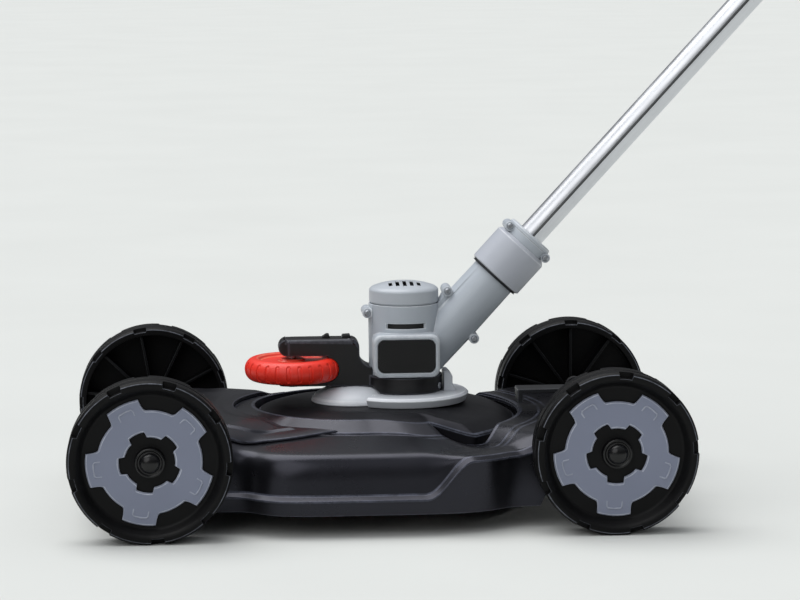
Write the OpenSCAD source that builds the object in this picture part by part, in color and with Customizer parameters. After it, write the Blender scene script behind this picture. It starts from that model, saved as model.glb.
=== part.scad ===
// Electric string trimmer docked in a four-wheeled mower deck.
// Millimetres. +X points to the user at the rear, +Y to the machine's right, +Z up.
// The origin lies on the ground under the middle of the wheelbase.

/* [Wheels] */
// Diameter of a wheel over its tread
wheel_d = 160; // [150:1:170]
// Width of a wheel
wheel_w = 40; // [34:1:44]
// Distance from the front axle to the rear axle
wheelbase = 452; // [440:1:470]
// Distance between the middles of the left and right wheels
track = 366; // [360:1:380]
// Diameter of the steel axles
axle_d = 10; // [8:0.5:11]
// Number of notches round each edge of the tread
tread_notches = 9; // [7:1:12]
// Distance of a hubcap's arms inside the tread
hubcap_in = 18; // [17:1:24]

/* [Deck] */
// Height of the deck's lower edge above the ground
deck_low = 21; // [18:1:28]
// Height of the dock's rim
rim_z = 102; // [101:0.5:104]
// Clearance between a wheel and the deck's wall beside it
deck_gap = 9; // [8:0.5:16]
// Distance that the side pods stand outside the middles of the wheels
pod_out = 3; // [0:1:8]
// Distance from the front axle to the deck's front edge
front_over = 60; // [50:1:70]
// Distance from the rear axle to the deck's rear edge
rear_over = 36; // [30:1:46]
// Wall thickness of the deck
deck_wall = 3; // [2.5:0.1:3.5]
// Thickness of the front cover plate
cover_t = 4; // [3:0.5:5]

/* [Head] */
// Distance of the motor axis behind the origin
motor_x = 33; // [25:1:40]
// Diameter of the motor housing
housing_d = 72; // [70:1:76]
// Height of the motor housing's top edge
housing_top = 205.5; // [202:0.5:214]
// Height of the domed cap above that edge
cap_h = 22.5; // [20:0.5:28]
// Radius of the light grey gear case plate
plate_r = 66; // [62:1:69]
// Thickness of the gear case plate
plate_t = 10; // [10:0.5:11]
// Diameter of the guide wheel
guide_d = 98; // [90:1:100]
// Thickness of the guide wheel
guide_t = 22; // [18:1:24]

/* [Guard and string] */
// Distance that the guard's rear skirt reaches outside the deck's walls, as a radius about the spindle
skirt_out = 12; // [8:0.5:13]
// Distance of the guard's collar inside the deck's walls at the front and sides
collar_in = 56; // [52:1:60]
// Height of the skirt's lower edge above the ground
guard_low = 32; // [28:1:36]
// Clearance between the cutting line's tip and the skirt
tip_gap = 14; // [10:1:20]
// Diameter of the cutting line
line_d = 1.65; // [1.3:0.05:2]
// Radius of the spool housing
spool_r = 46; // [42:1:48]

/* [Shaft and handle] */
// Slope of the tube above the ground plane
neck_angle = 47.25; // [44:0.25:52]
// Diameter of the aluminium tube
tube_d = 27; // [25:0.5:28]
// Diameter of the twist collar
collar_d = 58; // [56:1:62]
// Distance along the tube from the motor to the handle's lower end
handle_s = 800; // [780:5:900]
// Distance along the tube from the motor to the auxiliary handle
aux_s = 630; // [600:5:660]
// Width of the handle
handle_w = 36; // [34:1:40]

/* [Hidden] */
$fn = 64;

// Fits: flat faces, turning fits and the gap between parts that only sit in each other
seat = 0.3;
run = 0.06;

// Wheels and axles
wheel_r = wheel_d / 2;
axle_r = axle_d / 2;
axle_z = wheel_r;
front_x = -wheelbase / 2;
rear_x = wheelbase / 2;
rim_in_r = wheel_r - 8;
hubcap_r = wheel_r - hubcap_in;
hub_r = axle_r + 6;
web_z = 6;
web_t = 4;
boss_r = axle_r + 2;
beam_half = track / 2 - wheel_w / 2 - 0.6;
deck_half_w = track / 2 - wheel_w / 2 - deck_gap;
bulge_half_w = track / 2 + pod_out;
deck_front = wheelbase / 2 + front_over;
deck_rear = wheelbase / 2 + rear_over;
guard_rear_r = deck_half_w + skirt_out;
guard_side_r = deck_half_w - collar_in;
cut_r = guard_rear_r - tip_gap;

// Gear train: the spindle stands in front of the motor by the gears' centre distance
gear_m = 1.5;
pinion_n = 24;
gear_n = 46;
gear_gap = gear_m * (pinion_n + gear_n) / 2;
head_x = motor_x - gear_gap;
gear_r = gear_m * gear_n / 2;
pinion_r = gear_m * pinion_n / 2;
gear_t = 6.4;
gear_back = 0.35;

// Heights of the head, from the guard upward
flange_z = rim_z - 9;
guard_top = rim_z + 2.7;
plate_low = guard_top + seat;
plate_top = plate_low + plate_t;
pocket_top = plate_low + 7.4;
body_top = plate_top + 17;
dome_r = gear_r + gear_m + 4.5;
dome_top = plate_top + 7;
housing_r = housing_d / 2;
housing_low = body_top + seat;
housing_in = housing_r - 2.8;
body_r = housing_r + 3;
guide_x = motor_x - 114.5;
guide_z = plate_top + 24;
guide_r = guide_d / 2;
arm_half = 15.5;
pin_r = 4;

// Motor
shaft_r = 4;
stack_low = housing_low + 16;
stack_top = stack_low + 36;
core_r = 16;

// Cutting head
line_z = deck_low + 17;
spindle_r = 5;
spool_low = line_z - 9;
spool_top = flange_z + 3;

// Tube axis: it starts on the motor axis at this height
neck_z = housing_low - 2;
tube_r = tube_d / 2;
neck_r = 24;
collar_s0 = 145;
collar_s1 = collar_s0 + 32;
clamp_s1 = collar_s1 + 17;
slide = 60;
tube_s1 = handle_s + 34;
handle_half = handle_w / 2;
grip_top = 24;
loop_low = 64;
handle_end = handle_s + 290;

// Release pedal at the rear of the deck
pedal_x = rear_x - 14;
pedal_half = 24;
pedal_pin_r = 3;

// Smooth step from 0 at a to 1 at b
function step(a, b, x) = let (t = max(0, min(1, (x - a) / (b - a)))) t * t * (3 - 2 * t);
// Value a share t of the way from a to b
function mix(a, b, t) = a + (b - a) * t;
// Polar radius of a rounded box with half sizes a and b
function round_box(q, a, b, n) = pow(pow(abs(cos(q)) / a, n) + pow(abs(sin(q)) / b, n), -1 / n);
// Angle from the rear direction, 0 to 180, the same for both sides
function turn(q) = q > 180 ? 360 - q : q;
// Smooth bump of half width w round c
function bump(q, c, w) = 1 - step(w * 0.55, w, abs(q - c));

// Guard and dock, as functions of the angle about the spindle
function flare(q) = step(54, 46, q);
function guard_r(q) = mix(guard_side_r + 23 * step(86, 54, q), guard_rear_r, flare(q));
function guard_edge(q) = mix(guard_low, flange_z, step(44, 52, q));
function guard_flat(q) = min(guard_r(q) - 26, motor_x + plate_r - head_x + 4);
function dock_r(q) = guard_r(q) + 3;
function ledge_w(q) = mix(0.6, 7, step(60, 76, q));
function dock_z(q) = rim_z - 4 * step(80, 56, q) - 20 * step(57, 49, q) + 17 * step(44, 34, q);

// Deck outline and heights
function deck_r(q) = let (
        body = round_box(q, q < 90 ? deck_rear - head_x : deck_front + head_x, deck_half_w, 9),
        bulge = round_box(q, q < 90 ? rear_x - wheel_r - 8 - head_x : -front_x - wheel_r - 6 + head_x,
            bulge_half_w, 5)
    )
    pow(pow(body, 24) + pow(bulge, 24), 1 / 24);
function wheel_zone(q) = 1 - step(37, 46, q) + step(128, 140, q);
function pod(q) = step(60, 72, q) * (1 - step(131, 139, q));
function notch_q(x) = atan2(deck_half_w, x - head_x);
function notch(q) = max(bump(q, notch_q(rear_x), 9), bump(q, notch_q(front_x), 9));
notch_z = axle_z + boss_r + 0.6;
function shoulder_z(q) = mix(rim_z - 24, max(notch_z + 4.6, rim_z - 9), wheel_zone(q));
function low_z(q) = mix(deck_low + 16 * step(152, 166, q) + 20 * step(24, 12, q), notch_z, notch(q));
function lip_z(q) = max(mix(shoulder_z(q) - 3, deck_low + 18, pod(q)), low_z(q) + 2.6);
function top_in(q) = dock_r(q) + 2.5;
function top_out(q) = deck_r(q) - 22;
function top_mid(q) = min(dock_r(q) + 21, top_out(q) - 4);
function crown_z(q) = shoulder_z(q) + 0.5 + 4 * pod(q);
function mid_z(q) = mix(crown_z(q), dock_z(q), 0.48);
function deck_top(r, q) = r < top_mid(q)
    ? mix(dock_z(q), mid_z(q), max(0, (r - top_in(q)) / (top_mid(q) - top_in(q))))
    : mix(mid_z(q), crown_z(q), (r - top_mid(q)) / (top_out(q) - top_mid(q)));

// Closed section of the deck at the angle q, as [radius, height]
function deck_section(q) = let (
        d = dock_r(q),
        w = ledge_w(q),
        z = dock_z(q),
        ledge = min(flange_z - seat, z - 2),
        r = deck_r(q),
        s = shoulder_z(q),
        k = crown_z(q),
        l = lip_z(q),
        b = low_z(q),
        t = deck_wall
    ) [
        [d - w, ledge - t], [d - w, ledge], [d, ledge], [d, z],
        [top_in(q), z], [top_mid(q), mid_z(q)], [top_out(q), k], [r - 9, mix(s, k, 0.25)],
        [r - 2.5, mix(l, s, 0.7)], [r, l], [r + 5, l - 0.4], [r + 5, l - 2], [r + 1, l - 2.2], [r + 1.5, b],
        [r + 1.5 - t, b], [r - 2 - t, mix(l, s, 0.68) - t * 0.8], [r - 10, mix(s, k, 0.2) - t],
        [top_out(q) - 1, k - t], [top_mid(q), mid_z(q) - t],
        [d + t, min(z, mid_z(q) + 4) - t - 1], [d + t, ledge - t]
    ];

// Closed section of the guard at the angle q
function guard_section(q) = let (
        r = guard_r(q),
        e = guard_edge(q),
        c = flare(q)
    ) [
        [13.6, guard_top], [guard_flat(q), guard_top], [r - 18, guard_top - 2 + 0.6 * c], [r - 8, flange_z + 7],
        [r - 1.5, flange_z + 4], [r, flange_z + 1.5], [r + 1.2, e],
        [r - 1.6, e], [r - 3, flange_z + 1], [r - 10, flange_z + 3.6],
        [r - 20, guard_top - 5.4 + 0.6 * c], [guard_flat(q), guard_top - 3.4], [13.6, guard_top - 3.4]
    ];

// Ring swept about the spindle from one closed section per angle
module ring_loft(sections) {
    n = len(sections);
    m = len(sections[0]);
    points = [
        for (i = [0 : n - 1])
            for (p = sections[i])
                [head_x + p[0] * cos(i * 360 / n), p[0] * sin(i * 360 / n), p[1]]
    ];
    faces = [
        for (i = [0 : n - 1])
            for (j = [0 : m - 1])
                let (a = i * m, b = (i + 1) % n * m, k = (j + 1) % m)
                    each [[a + j, b + j, b + k], [a + j, b + k, a + k]]
    ];
    polyhedron(points, faces, convexity = 8);
}

module deck_shell() {
    color("#1d1d1f")
        ring_loft([for (i = [0 : 119]) deck_section(turn(i * 3))]);
}

// Cover plate: a grid of points over the front of the deck, top and bottom
cover_cols = 44;
cover_rows = 8;
cover_gap = 0.7;
function cover_q(i, t) = 180 + mix(-1, 1, i / cover_cols) * mix(80, 49, pow(t, 0.8));
function cover_point(i, j, up) = let (
        t = j / cover_rows,
        a = cover_q(i, t),
        q = turn(a),
        r = mix(top_mid(q) + 1, top_out(q) - 2, t),
        ends = pow(max(0, abs(i / cover_cols * 2 - 1) - 0.86) / 0.14, 2),
        z = deck_top(r, q) + cover_gap + up * (cover_t - ends * cover_t * 0.4)
    )
    [head_x + r * cos(a), r * sin(a), z];

module front_cover() {
    n = cover_cols + 1;
    size = n * (cover_rows + 1);
    points = [
        for (up = [0, 1])
            for (j = [0 : cover_rows])
                for (i = [0 : cover_cols])
                    cover_point(i, j, up)
    ];
    sheet = [
        for (j = [0 : cover_rows - 1])
            for (i = [0 : cover_cols - 1])
                let (a = j * n + i)
                    each [[a, a + 1, a + n + 1], [a, a + n + 1, a + n]]
    ];
    edge = concat(
        [for (i = [0 : cover_cols]) i],
        [for (j = [1 : cover_rows]) j * n + cover_cols],
        [for (i = [cover_cols - 1 : -1 : 0]) cover_rows * n + i],
        [for (j = [cover_rows - 1 : -1 : 1]) j * n]
    );
    m = len(edge);
    wall = [
        for (k = [0 : m - 1])
            let (a = edge[k], b = edge[(k + 1) % m])
                each [[a, a + size, b + size], [a, b + size, b]]
    ];
    top = [for (f = sheet) [f[2] + size, f[1] + size, f[0] + size]];
    color("#232325")
        polyhedron(points, concat(sheet, top, wall), convexity = 6);
}

// Rod along Y at a height and distance
module cross_rod(x, z, r, half) {
    translate([x, 0, z])
        rotate([90, 0, 0])
            cylinder(r = r, h = half * 2, center = true);
}

module axle(x) {
    color("#9a9da1")
        cross_rod(x, axle_z, axle_r, track / 2 + wheel_w / 2);
}

module front_axle() {
    axle(front_x);
}

module rear_axle() {
    axle(rear_x);
}

// Height of the deck's underside over the corner of a post on an axle beam
post_y = deck_half_w - 36;
post_half = 12;
function post_top(x, side) = let (
        dx = x + side * 13 - head_x,
        r = norm([dx, post_y + post_half])
    )
    deck_top(r, atan2(post_y + post_half, dx)) - deck_wall - 1.2;

// Plastic beam that carries an axle, with two posts up to the deck
module axle_beam(x, side) {
    color("#202022")
        difference() {
            union() {
                cross_rod(x, axle_z, boss_r, beam_half);
                translate([x - 11, -deck_half_w + 8, axle_z - 12])
                    cube([22, deck_half_w * 2 - 16, 16]);
                for (y = [-post_y, post_y])
                    translate([x - 13, y - post_half, axle_z - 12])
                        cube([26, post_half * 2, post_top(x, side) - axle_z + 12]);
            }
            cross_rod(x, axle_z, axle_r + run, beam_half + 1);
            for (y = [-post_y, post_y])
                translate([x, y, 0])
                    screw_clear();
        }
}

module front_axle_beam() {
    axle_beam(front_x, -1);
}

module rear_axle_beam() {
    axle_beam(rear_x, 1);
}

// Deck screws: two in each post, one on each side of the axle
screw_r = 2;
screw_y = 7.5;
module screw_clear() {
    for (y = [-screw_y, screw_y])
        translate([8.6, y, axle_z - 20])
            cylinder(r = screw_r + 0.2, h = 60);
}

module deck_screws() {
    color("#8d9094")
        for (x = [front_x, rear_x])
            for (y = [-post_y, post_y])
                for (k = [-screw_y, screw_y])
                    translate([x + 8.6, y + k, axle_z - 14.6]) {
                        cylinder(r = screw_r + 1.9, h = 2.3);
                        cylinder(r = screw_r, h = post_top(x, sign(x)) - axle_z + 14.6 + deck_wall * 0.8);
                    }
    color("#8d9094")
        for (y = [-12, 12])
            translate([pedal_x, y, pedal_base - 2]) {
                translate([0, 0, pedal_floor - pedal_base + 2.1])
                    cylinder(r = screw_r + 1.9, h = 1.6);
                cylinder(r = screw_r, h = pedal_floor - pedal_base + 2.2);
            }
}

module axle_caps() {
    color("#1b1b1d")
        for (x = [front_x, rear_x])
            for (s = [-1, 1])
                translate([x, s * track / 2, axle_z])
                    rotate([-90 * s, 0, 0])
                        rotate_extrude()
                            polygon([
                                [axle_r + 0.05, wheel_w / 2 - 3.5], [axle_r + 8, wheel_w / 2 - 3.5],
                                [axle_r + 8, wheel_w / 2 - 2.2], [axle_r + 6.5, wheel_w / 2 - 1],
                                [axle_r + 3, wheel_w / 2 - 1], [axle_r + 2.6, wheel_w / 2 + 1.5],
                                [axle_r + 1, wheel_w / 2 + 3], [axle_r - 2, wheel_w / 2 + 3.8],
                                [0, wheel_w / 2 + 4], [0, wheel_w / 2 + 0.4],
                                [axle_r + 0.05, wheel_w / 2 + 0.4]
                            ]);
}

// Wheel with its axis along Z and its outer face up
module wheel() {
    h = wheel_w / 2;
    color("#161618")
        difference() {
            union() {
                rotate_extrude()
                    polygon([
                        [axle_r + run, -h + 1], [hub_r, -h + 1], [hub_r, web_z], [rim_in_r, web_z],
                        [rim_in_r, -h], [wheel_r - 2, -h], [wheel_r, -h + 3], [wheel_r, -3],
                        [wheel_r - 1.5, -2], [wheel_r - 1.5, 2], [wheel_r, 3], [wheel_r, h - 3],
                        [wheel_r - 2.2, h], [wheel_r - 6, h], [wheel_r - 8, h - 2], [wheel_r - 15, web_z + web_t],
                        [hub_r + 4, web_z + web_t], [hub_r + 3, h - 4], [axle_r + run, h - 4]
                    ]);
                for (a = [0 : 36 : 324])
                    rotate([0, 0, a])
                        translate([hub_r - 1, -1.2, -h + 5])
                            cube([rim_in_r - hub_r + 2, 2.4, h + web_z - 4]);
            }
            for (i = [0 : tread_notches - 1])
                rotate([0, 0, i * 360 / tread_notches]) {
                    translate([wheel_r - 6, -6.5, h - 9])
                        cube([10, 13, 12]);
                    rotate([0, 0, 180 / tread_notches])
                        translate([wheel_r - 4, -6.5, -h - 3])
                            cube([10, 13, 12]);
                }
        }
}

// Flat outline of a hubcap: five arms outside and a five-lobed hole inside
module wedge(r, half) {
    polygon([[0, 0], [r * 1.2, -half * 1.2], [r * 1.2, half * 1.2]]);
}

module hubcap_outline() {
    difference() {
        union() {
            circle(r = hubcap_r - 10);
            for (a = [0 : 72 : 288])
                rotate(a)
                    intersection() {
                        circle(r = hubcap_r);
                        wedge(hubcap_r, 18.5);
                    }
        }
        circle(r = 24);
        for (a = [0 : 72 : 288])
            rotate(a)
                intersection() {
                    circle(r = 28.5);
                    wedge(28.5, 8.2);
                }
    }
}

// Raised bow on an arm of a hubcap
module hubcap_bow() {
    difference() {
        translate([hubcap_r - 17, -9, 0])
            cube([8, 18, 1]);
        translate([hubcap_r - 18, -7, -1])
            cube([7, 14, 3]);
    }
}

module hubcap() {
    color("#6d7384")
        translate([0, 0, web_z + web_t]) {
            linear_extrude(height = 3.2)
                hubcap_outline();
            for (a = [0 : 72 : 288])
                rotate([0, 0, a])
                    translate([0, 0, 3])
                        hubcap_bow();
        }
}

// Put a wheel piece on its axle end: s is -1 on the left, 1 on the right
module on_axle(x, s, turned) {
    translate([x, s * track / 2, axle_z])
        rotate([-90 * s, 0, 0])
            rotate([0, 0, turned])
                children();
}

module wheel_front_left() {
    on_axle(front_x, -1, 75)
        wheel();
}

module wheel_front_right() {
    on_axle(front_x, 1, 80)
        wheel();
}

module wheel_rear_left() {
    on_axle(rear_x, -1, 84)
        wheel();
}

module wheel_rear_right() {
    on_axle(rear_x, 1, 90)
        wheel();
}

module hubcap_front_left() {
    on_axle(front_x, -1, -101)
        hubcap();
}

module hubcap_front_right() {
    on_axle(front_x, 1, 80)
        hubcap();
}

module hubcap_rear_left() {
    on_axle(rear_x, -1, -93)
        hubcap();
}

module hubcap_rear_right() {
    on_axle(rear_x, 1, 90)
        hubcap();
}

// Release pedal: bracket on the deck, pin through it, lever with a claw behind the guard
pedal_base = max(deck_top(pedal_x - 12 - head_x, 0), deck_top(pedal_x + 12 - head_x, 0)) + seat;
pedal_floor = pedal_base + 3.6;
pedal_z = pedal_base + 17.8;
module pedal_bracket() {
    color("#202022")
        difference() {
            union() {
                translate([pedal_x - 12, -pedal_half - 7, pedal_base])
                    cube([24, pedal_half * 2 + 14, pedal_floor - pedal_base]);
                for (s = [-1, 1])
                    translate([pedal_x - 9, s * (pedal_half + 3.5) - 3, pedal_base]) {
                        cube([18, 6, pedal_z - pedal_base]);
                        translate([9, 6, pedal_z - pedal_base])
                            rotate([90, 0, 0])
                                cylinder(r = 9, h = 6);
                    }
            }
            cross_rod(pedal_x, pedal_z, pedal_pin_r + run, pedal_half + 20);
            for (y = [-12, 12])
                translate([pedal_x, y, pedal_base - 1])
                    cylinder(r = screw_r + 0.2, h = 20);
        }
}

module pedal_pin() {
    color("#9a9da1")
        cross_rod(pedal_x, pedal_z, pedal_pin_r, pedal_half + 9);
}

claw_x = head_x + guard_rear_r + 2;
module release_pedal() {
    color("#3a3b3e")
        difference() {
            union() {
                cross_rod(pedal_x, pedal_z, 6, pedal_half);
                translate([claw_x, -14, pedal_z - 2])
                    cube([pedal_x - claw_x, 28, 5]);
                translate([claw_x, -14, rim_z - 1])
                    cube([6, 28, pedal_z - rim_z + 2]);
                translate([pedal_x, -pedal_half, pedal_z - 1])
                    cube([20, pedal_half * 2, 6]);
                translate([pedal_x + 18, -pedal_half - 12, pedal_z - 1])
                    cube([40, pedal_half * 2 + 24, 6]);
                for (i = [0 : 3])
                    translate([pedal_x + 24 + i * 8, -pedal_half - 8, pedal_z + 4])
                        cube([3, pedal_half * 2 + 16, 2]);
            }
            cross_rod(pedal_x, pedal_z, pedal_pin_r + run, pedal_half + 20);
        }
}

// Coil spring standing on its lower end: one unbroken tube with six sides
module coil_spring(r, wire, turns, height) {
    rings = turns * 12;
    rise = height - 2 * wire;
    points = [
        for (i = [0 : rings])
            for (k = [0 : 5])
                let (a = i * 30, w = r + wire * cos(k * 60))
                    [w * cos(a), w * sin(a), wire + rise * i / rings + wire * sin(k * 60)]
    ];
    sides = [
        for (i = [0 : rings - 1])
            for (k = [0 : 5])
                let (a = i * 6, b = a + 6, j = (k + 1) % 6)
                    each [[a + k, a + j, b + j], [a + k, b + j, b + k]]
    ];
    ends = [
        for (k = [1 : 4])
            each [[0, k + 1, k], [rings * 6, rings * 6 + k, rings * 6 + k + 1]]
    ];
    echo(least_gap = rise / turns - 2 * wire);
    polyhedron(points, concat(sides, ends), convexity = 10);
}

// Spring that lifts the pedal's pad, standing on the deck
pedal_spring_x = pedal_x + 28;
module pedal_spring() {
    foot = deck_top(pedal_spring_x - head_x, 0) + 0.5;
    color("#a3a6aa")
        translate([pedal_spring_x, 0, foot])
            coil_spring(7, 0.9, 4, pedal_z - 1 - seat - foot);
}

// Involute gear outline: n teeth of module m, thinned by the backlash
function involute(base, t) = [base * (cos(t) + t * PI / 180 * sin(t)), base * (sin(t) - t * PI / 180 * cos(t))];
function tooth_flank(n, m, thin) = let (
        pitch = m * n / 2,
        base = pitch * cos(20),
        out = pitch + m * 0.92,
        root = pitch - m * 1.2,
        t_out = sqrt(pow(out / base, 2) - 1) * 180 / PI,
        t_in = root > base ? sqrt(pow(root / base, 2) - 1) * 180 / PI : 0,
        inv = tan(20) * 180 / PI - 20,
        half = 90 / n + inv - thin / (2 * pitch) * 180 / PI,
        curve = [
            for (i = [0 : 6])
                let (p = involute(base, mix(t_in, t_out, i / 6)), a = atan2(p[1], p[0]) - half)
                    norm(p) * [cos(a), sin(a)]
        ]
    )
    concat([root * [cos(-half - 0.2), sin(-half - 0.2)]], curve);

module gear_outline(n, m, thin) {
    flank = tooth_flank(n, m, thin);
    k = len(flank);
    tooth = concat(flank, [for (i = [k - 1 : -1 : 0]) [flank[i][0], -flank[i][1]]]);
    polygon([
        for (i = [0 : n - 1])
            for (p = tooth)
                let (a = i * 360 / n)
                    [p[0] * cos(a) - p[1] * sin(a), p[0] * sin(a) + p[1] * cos(a)]
    ]);
}

// Dome over the spindle gear, grown by g
module dome(g) {
    translate([head_x, 0, plate_low])
        rotate_extrude()
            polygon([
                [0, 0], [dome_r + g, 0], [dome_r + g, 5], [dome_r - 2 + g, plate_t],
                [dome_r - 12 + g, plate_t + 6 + g], [16 + g, dome_top - plate_low - 1 + g],
                [0, dome_top - plate_low + g]
            ]);
}

bearing_r = 11;
spindle_seat = pocket_top + 0.6;
module gear_case() {
    color("#ccd0d3")
        difference() {
            union() {
                translate([motor_x, 0, plate_low])
                    cylinder(r = plate_r, h = plate_t - 2.5);
                translate([motor_x, 0, plate_top - 2.5])
                    cylinder(r1 = plate_r, r2 = plate_r - 3, h = 2.5);
                dome(0);
                translate([motor_x + body_r + seat, -15, plate_top - 1])
                    cube([9, 30, 21]);
                translate([motor_x + body_r + 5, -15, plate_top - 1])
                    cube([12, 30, 10]);
            }
            translate([head_x, 0, plate_low - 1])
                cylinder(r = gear_r + gear_m + 1.2, h = pocket_top - plate_low + 1);
            translate([motor_x, 0, plate_low - 1])
                cylinder(r = pinion_r + gear_m + 1.2, h = pocket_top - plate_low + 1);
            translate([motor_x, 0, plate_low])
                cylinder(r = shaft_r + 2, h = plate_t + 10);
            translate([head_x, 0, pocket_top - 1])
                cylinder(r = bearing_r + 0.05, h = 8.2);
            translate([motor_x, 0, plate_top])
                cylinder(r = body_r + seat, h = 60);
        }
}

// Side outline of the fork that holds the guide wheel
fork_low = guide_z - guide_t / 2;
fork_high = guide_z + guide_t / 2;
module fork_outline() {
    leg = guide_x + guide_r + 3;
    difference() {
        union() {
            translate([guide_x - 6, fork_high + 3])
                square([leg - guide_x + 6 + 22, 17]);
            translate([guide_x - 6, fork_high + 11.5])
                circle(r = 8.5);
            translate([leg, plate_low + 4])
                square([motor_x - leg, fork_high + 9 - plate_low]);
            translate([guide_x - 14, fork_low - 6])
                square([leg - guide_x + 20, 5]);
        }
        translate([leg + 16, fork_low + 27])
            square([80, 60]);
        translate([leg + 30, fork_low + 13])
            square([80, 60]);
        translate([leg + 30, fork_low + 27])
            circle(r = 14);
    }
}

module lower_body() {
    color("#272426")
        difference() {
            union() {
                translate([motor_x, 0, plate_top + seat])
                    cylinder(r = body_r, h = body_top - plate_top - seat);
                intersection() {
                    translate([0, arm_half, 0])
                        rotate([90, 0, 0])
                            linear_extrude(height = arm_half * 2)
                                fork_outline();
                    translate([guide_x, 0, 0])
                        union() {
                            translate([-4, 0, 0])
                                cylinder(r = arm_half - 1, h = 400);
                            translate([-4, -arm_half, 0])
                                cube([200, arm_half * 2, 400]);
                        }
                }
            }
            dome(seat);
            translate([motor_x, 0, plate_low - 1])
                cylinder(r = plate_r + seat, h = plate_t + 1 + seat);
            translate([motor_x, 0, plate_top + 12])
                cylinder(r = housing_in - 4, h = 100);
            translate([motor_x, 0, plate_top + 2])
                cylinder(r = bearing_r + 0.05, h = 20);
            translate([motor_x, 0, plate_top])
                cylinder(r = shaft_r + 2, h = 20);
            translate([motor_x, 0, body_top])
                cylinder(r = housing_r + seat, h = 100);
            translate([guide_x, 0, fork_low - 20])
                cylinder(r = pin_r + 0.02, h = guide_t + 34);
        }
}

module guide_pin() {
    color("#9a9da1")
        translate([guide_x, 0, fork_low - 7.5]) {
            cylinder(r = pin_r, h = guide_t + 19);
            cylinder(r = pin_r + 3, h = 1.4);
        }
}

module guide_wheel() {
    h = guide_t / 2;
    color("#d62425")
        difference() {
            translate([guide_x, 0, guide_z])
                rotate_extrude()
                    polygon([
                        [pin_r + run, -h + 0.5], [12, -h + 0.5], [14, -h + 3], [guide_r - 14, -h + 3],
                        [guide_r - 11, -h], [guide_r - 5, -h], [guide_r - 1.6, -h + 3], [guide_r, -h + 7],
                        [guide_r, h - 7], [guide_r - 1.6, h - 3], [guide_r - 5, h], [guide_r - 11, h],
                        [guide_r - 14, h - 3], [14, h - 3], [12, h - 0.5], [pin_r + run, h - 0.5]
                    ]);
            for (i = [0 : 23])
                translate([guide_x, 0, guide_z])
                    rotate([0, 0, i * 15])
                        translate([guide_r - 1.2, -2, -h + 5])
                            cube([5, 4, guide_t - 10]);
        }
}

// Place children with Z along the tube, s millimetres from the motor axis; X then points down to the rear
module along_tube(s) {
    translate([motor_x, 0, neck_z])
        rotate([0, 90 - neck_angle, 0])
            translate([0, 0, s])
                children();
}

// Positions of the housing's screw bosses, as X and Z
boss_at = [
    [motor_x - housing_r - 2, housing_top - 9],
    [motor_x + housing_r + 8, housing_top + 12],
    [motor_x + housing_r + 35, housing_low + 36]
];
badge_w = 68;
badge_h = 44;
badge_z = housing_low + 23;
badge_y = housing_r + 6;

module housing_solid(g) {
    translate([motor_x, 0, housing_low])
        cylinder(r = housing_r - g, h = housing_top - housing_low);
    along_tube(20)
        cylinder(r = neck_r - g, h = collar_s0 - 20);
}

// Block with rounded corners that frames the badge on one side
module badge_frame(s) {
    translate([motor_x, s * (badge_y / 2 + 8), badge_z])
        rotate([90, 0, 0])
            linear_extrude(height = badge_y - 16, center = true)
                rounded_rect(badge_w, badge_h, 9);
}

module rounded_rect(w, h, r) {
    square([w - 2 * r, h], center = true);
    square([w, h - 2 * r], center = true);
    for (x = [-1, 1])
        for (y = [-1, 1])
            translate([x * (w / 2 - r), y * (h / 2 - r)])
                circle(r = r);
}

// Everything on one side of the mid-plane
module half_space(s) {
    translate([motor_x - 100, s > 0 ? 0 : -100, housing_low])
        cube([400, 100, 300]);
}

module housing_half(s) {
    color("#8e949b") {
        housing_shell(s);
        intersection() {
            ring(motor_x, housing_top - 4, housing_in + 1, bearing_r + 0.05, 4);
            half_space(s);
        }
    }
}

module housing_shell(s) {
    difference() {
        union() {
            intersection() {
                union() {
                    housing_solid(0);
                    badge_frame(s);
                }
                half_space(s);
            }
            for (p = boss_at)
                translate([p[0], 0, p[1]])
                    rotate([90 * -s, 0, 0])
                        cylinder(r = 6.5, h = 15);
        }
        housing_hollow();
        for (p = boss_at)
            translate([p[0], 0, p[1]])
                rotate([90, 0, 0])
                    cylinder(r = 1.8, h = 80, center = true);
        translate([motor_x, s * badge_y, badge_z])
            rotate([90, 0, 0])
                linear_extrude(height = 3, center = true)
                    rounded_rect(badge_w - 9, badge_h - 10, 7);
        translate([motor_x - 20, s * housing_r - 8, badge_z + badge_h / 2 + 5])
            cube([40, 16, 5]);
    }
}

// Hollow inside the two halves: motor bay, neck bore and the cap's spigot
module housing_hollow() {
    translate([motor_x, 0, housing_low - 1])
        cylinder(r = housing_in, h = housing_top - housing_low + 30);
    along_tube(40)
        cylinder(r = tube_r + 4, h = 200);
    translate([motor_x, 0, housing_top])
        cylinder(r = housing_r + seat, h = 40);
}

module housing_left() {
    housing_half(-1);
}

module housing_right() {
    housing_half(1);
}

module motor_cap() {
    r = housing_r - 0.5;
    color("#9aa0a6")
        difference() {
            translate([motor_x, 0, housing_top + seat])
                rotate_extrude()
                    polygon([
                        [r - 2.5, 0], [r, 0], [r, cap_h * 0.35], [r - 1.5, cap_h * 0.55], [r - 6, cap_h * 0.78],
                        [r - 14, cap_h * 0.94], [12, cap_h], [0, cap_h], [0, cap_h - 2.5], [12, cap_h - 2.5],
                        [r - 15, cap_h * 0.94 - 2.5], [r - 8, cap_h * 0.7 - 1], [r - 4, cap_h * 0.5],
                        [r - 2.5, cap_h * 0.3]
                    ]);
            for (i = [-2 : 2])
                translate([motor_x + i * 8 - 2, -26, housing_top + cap_h * 0.6])
                    cube([4, 18, 40]);
        }
}

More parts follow.
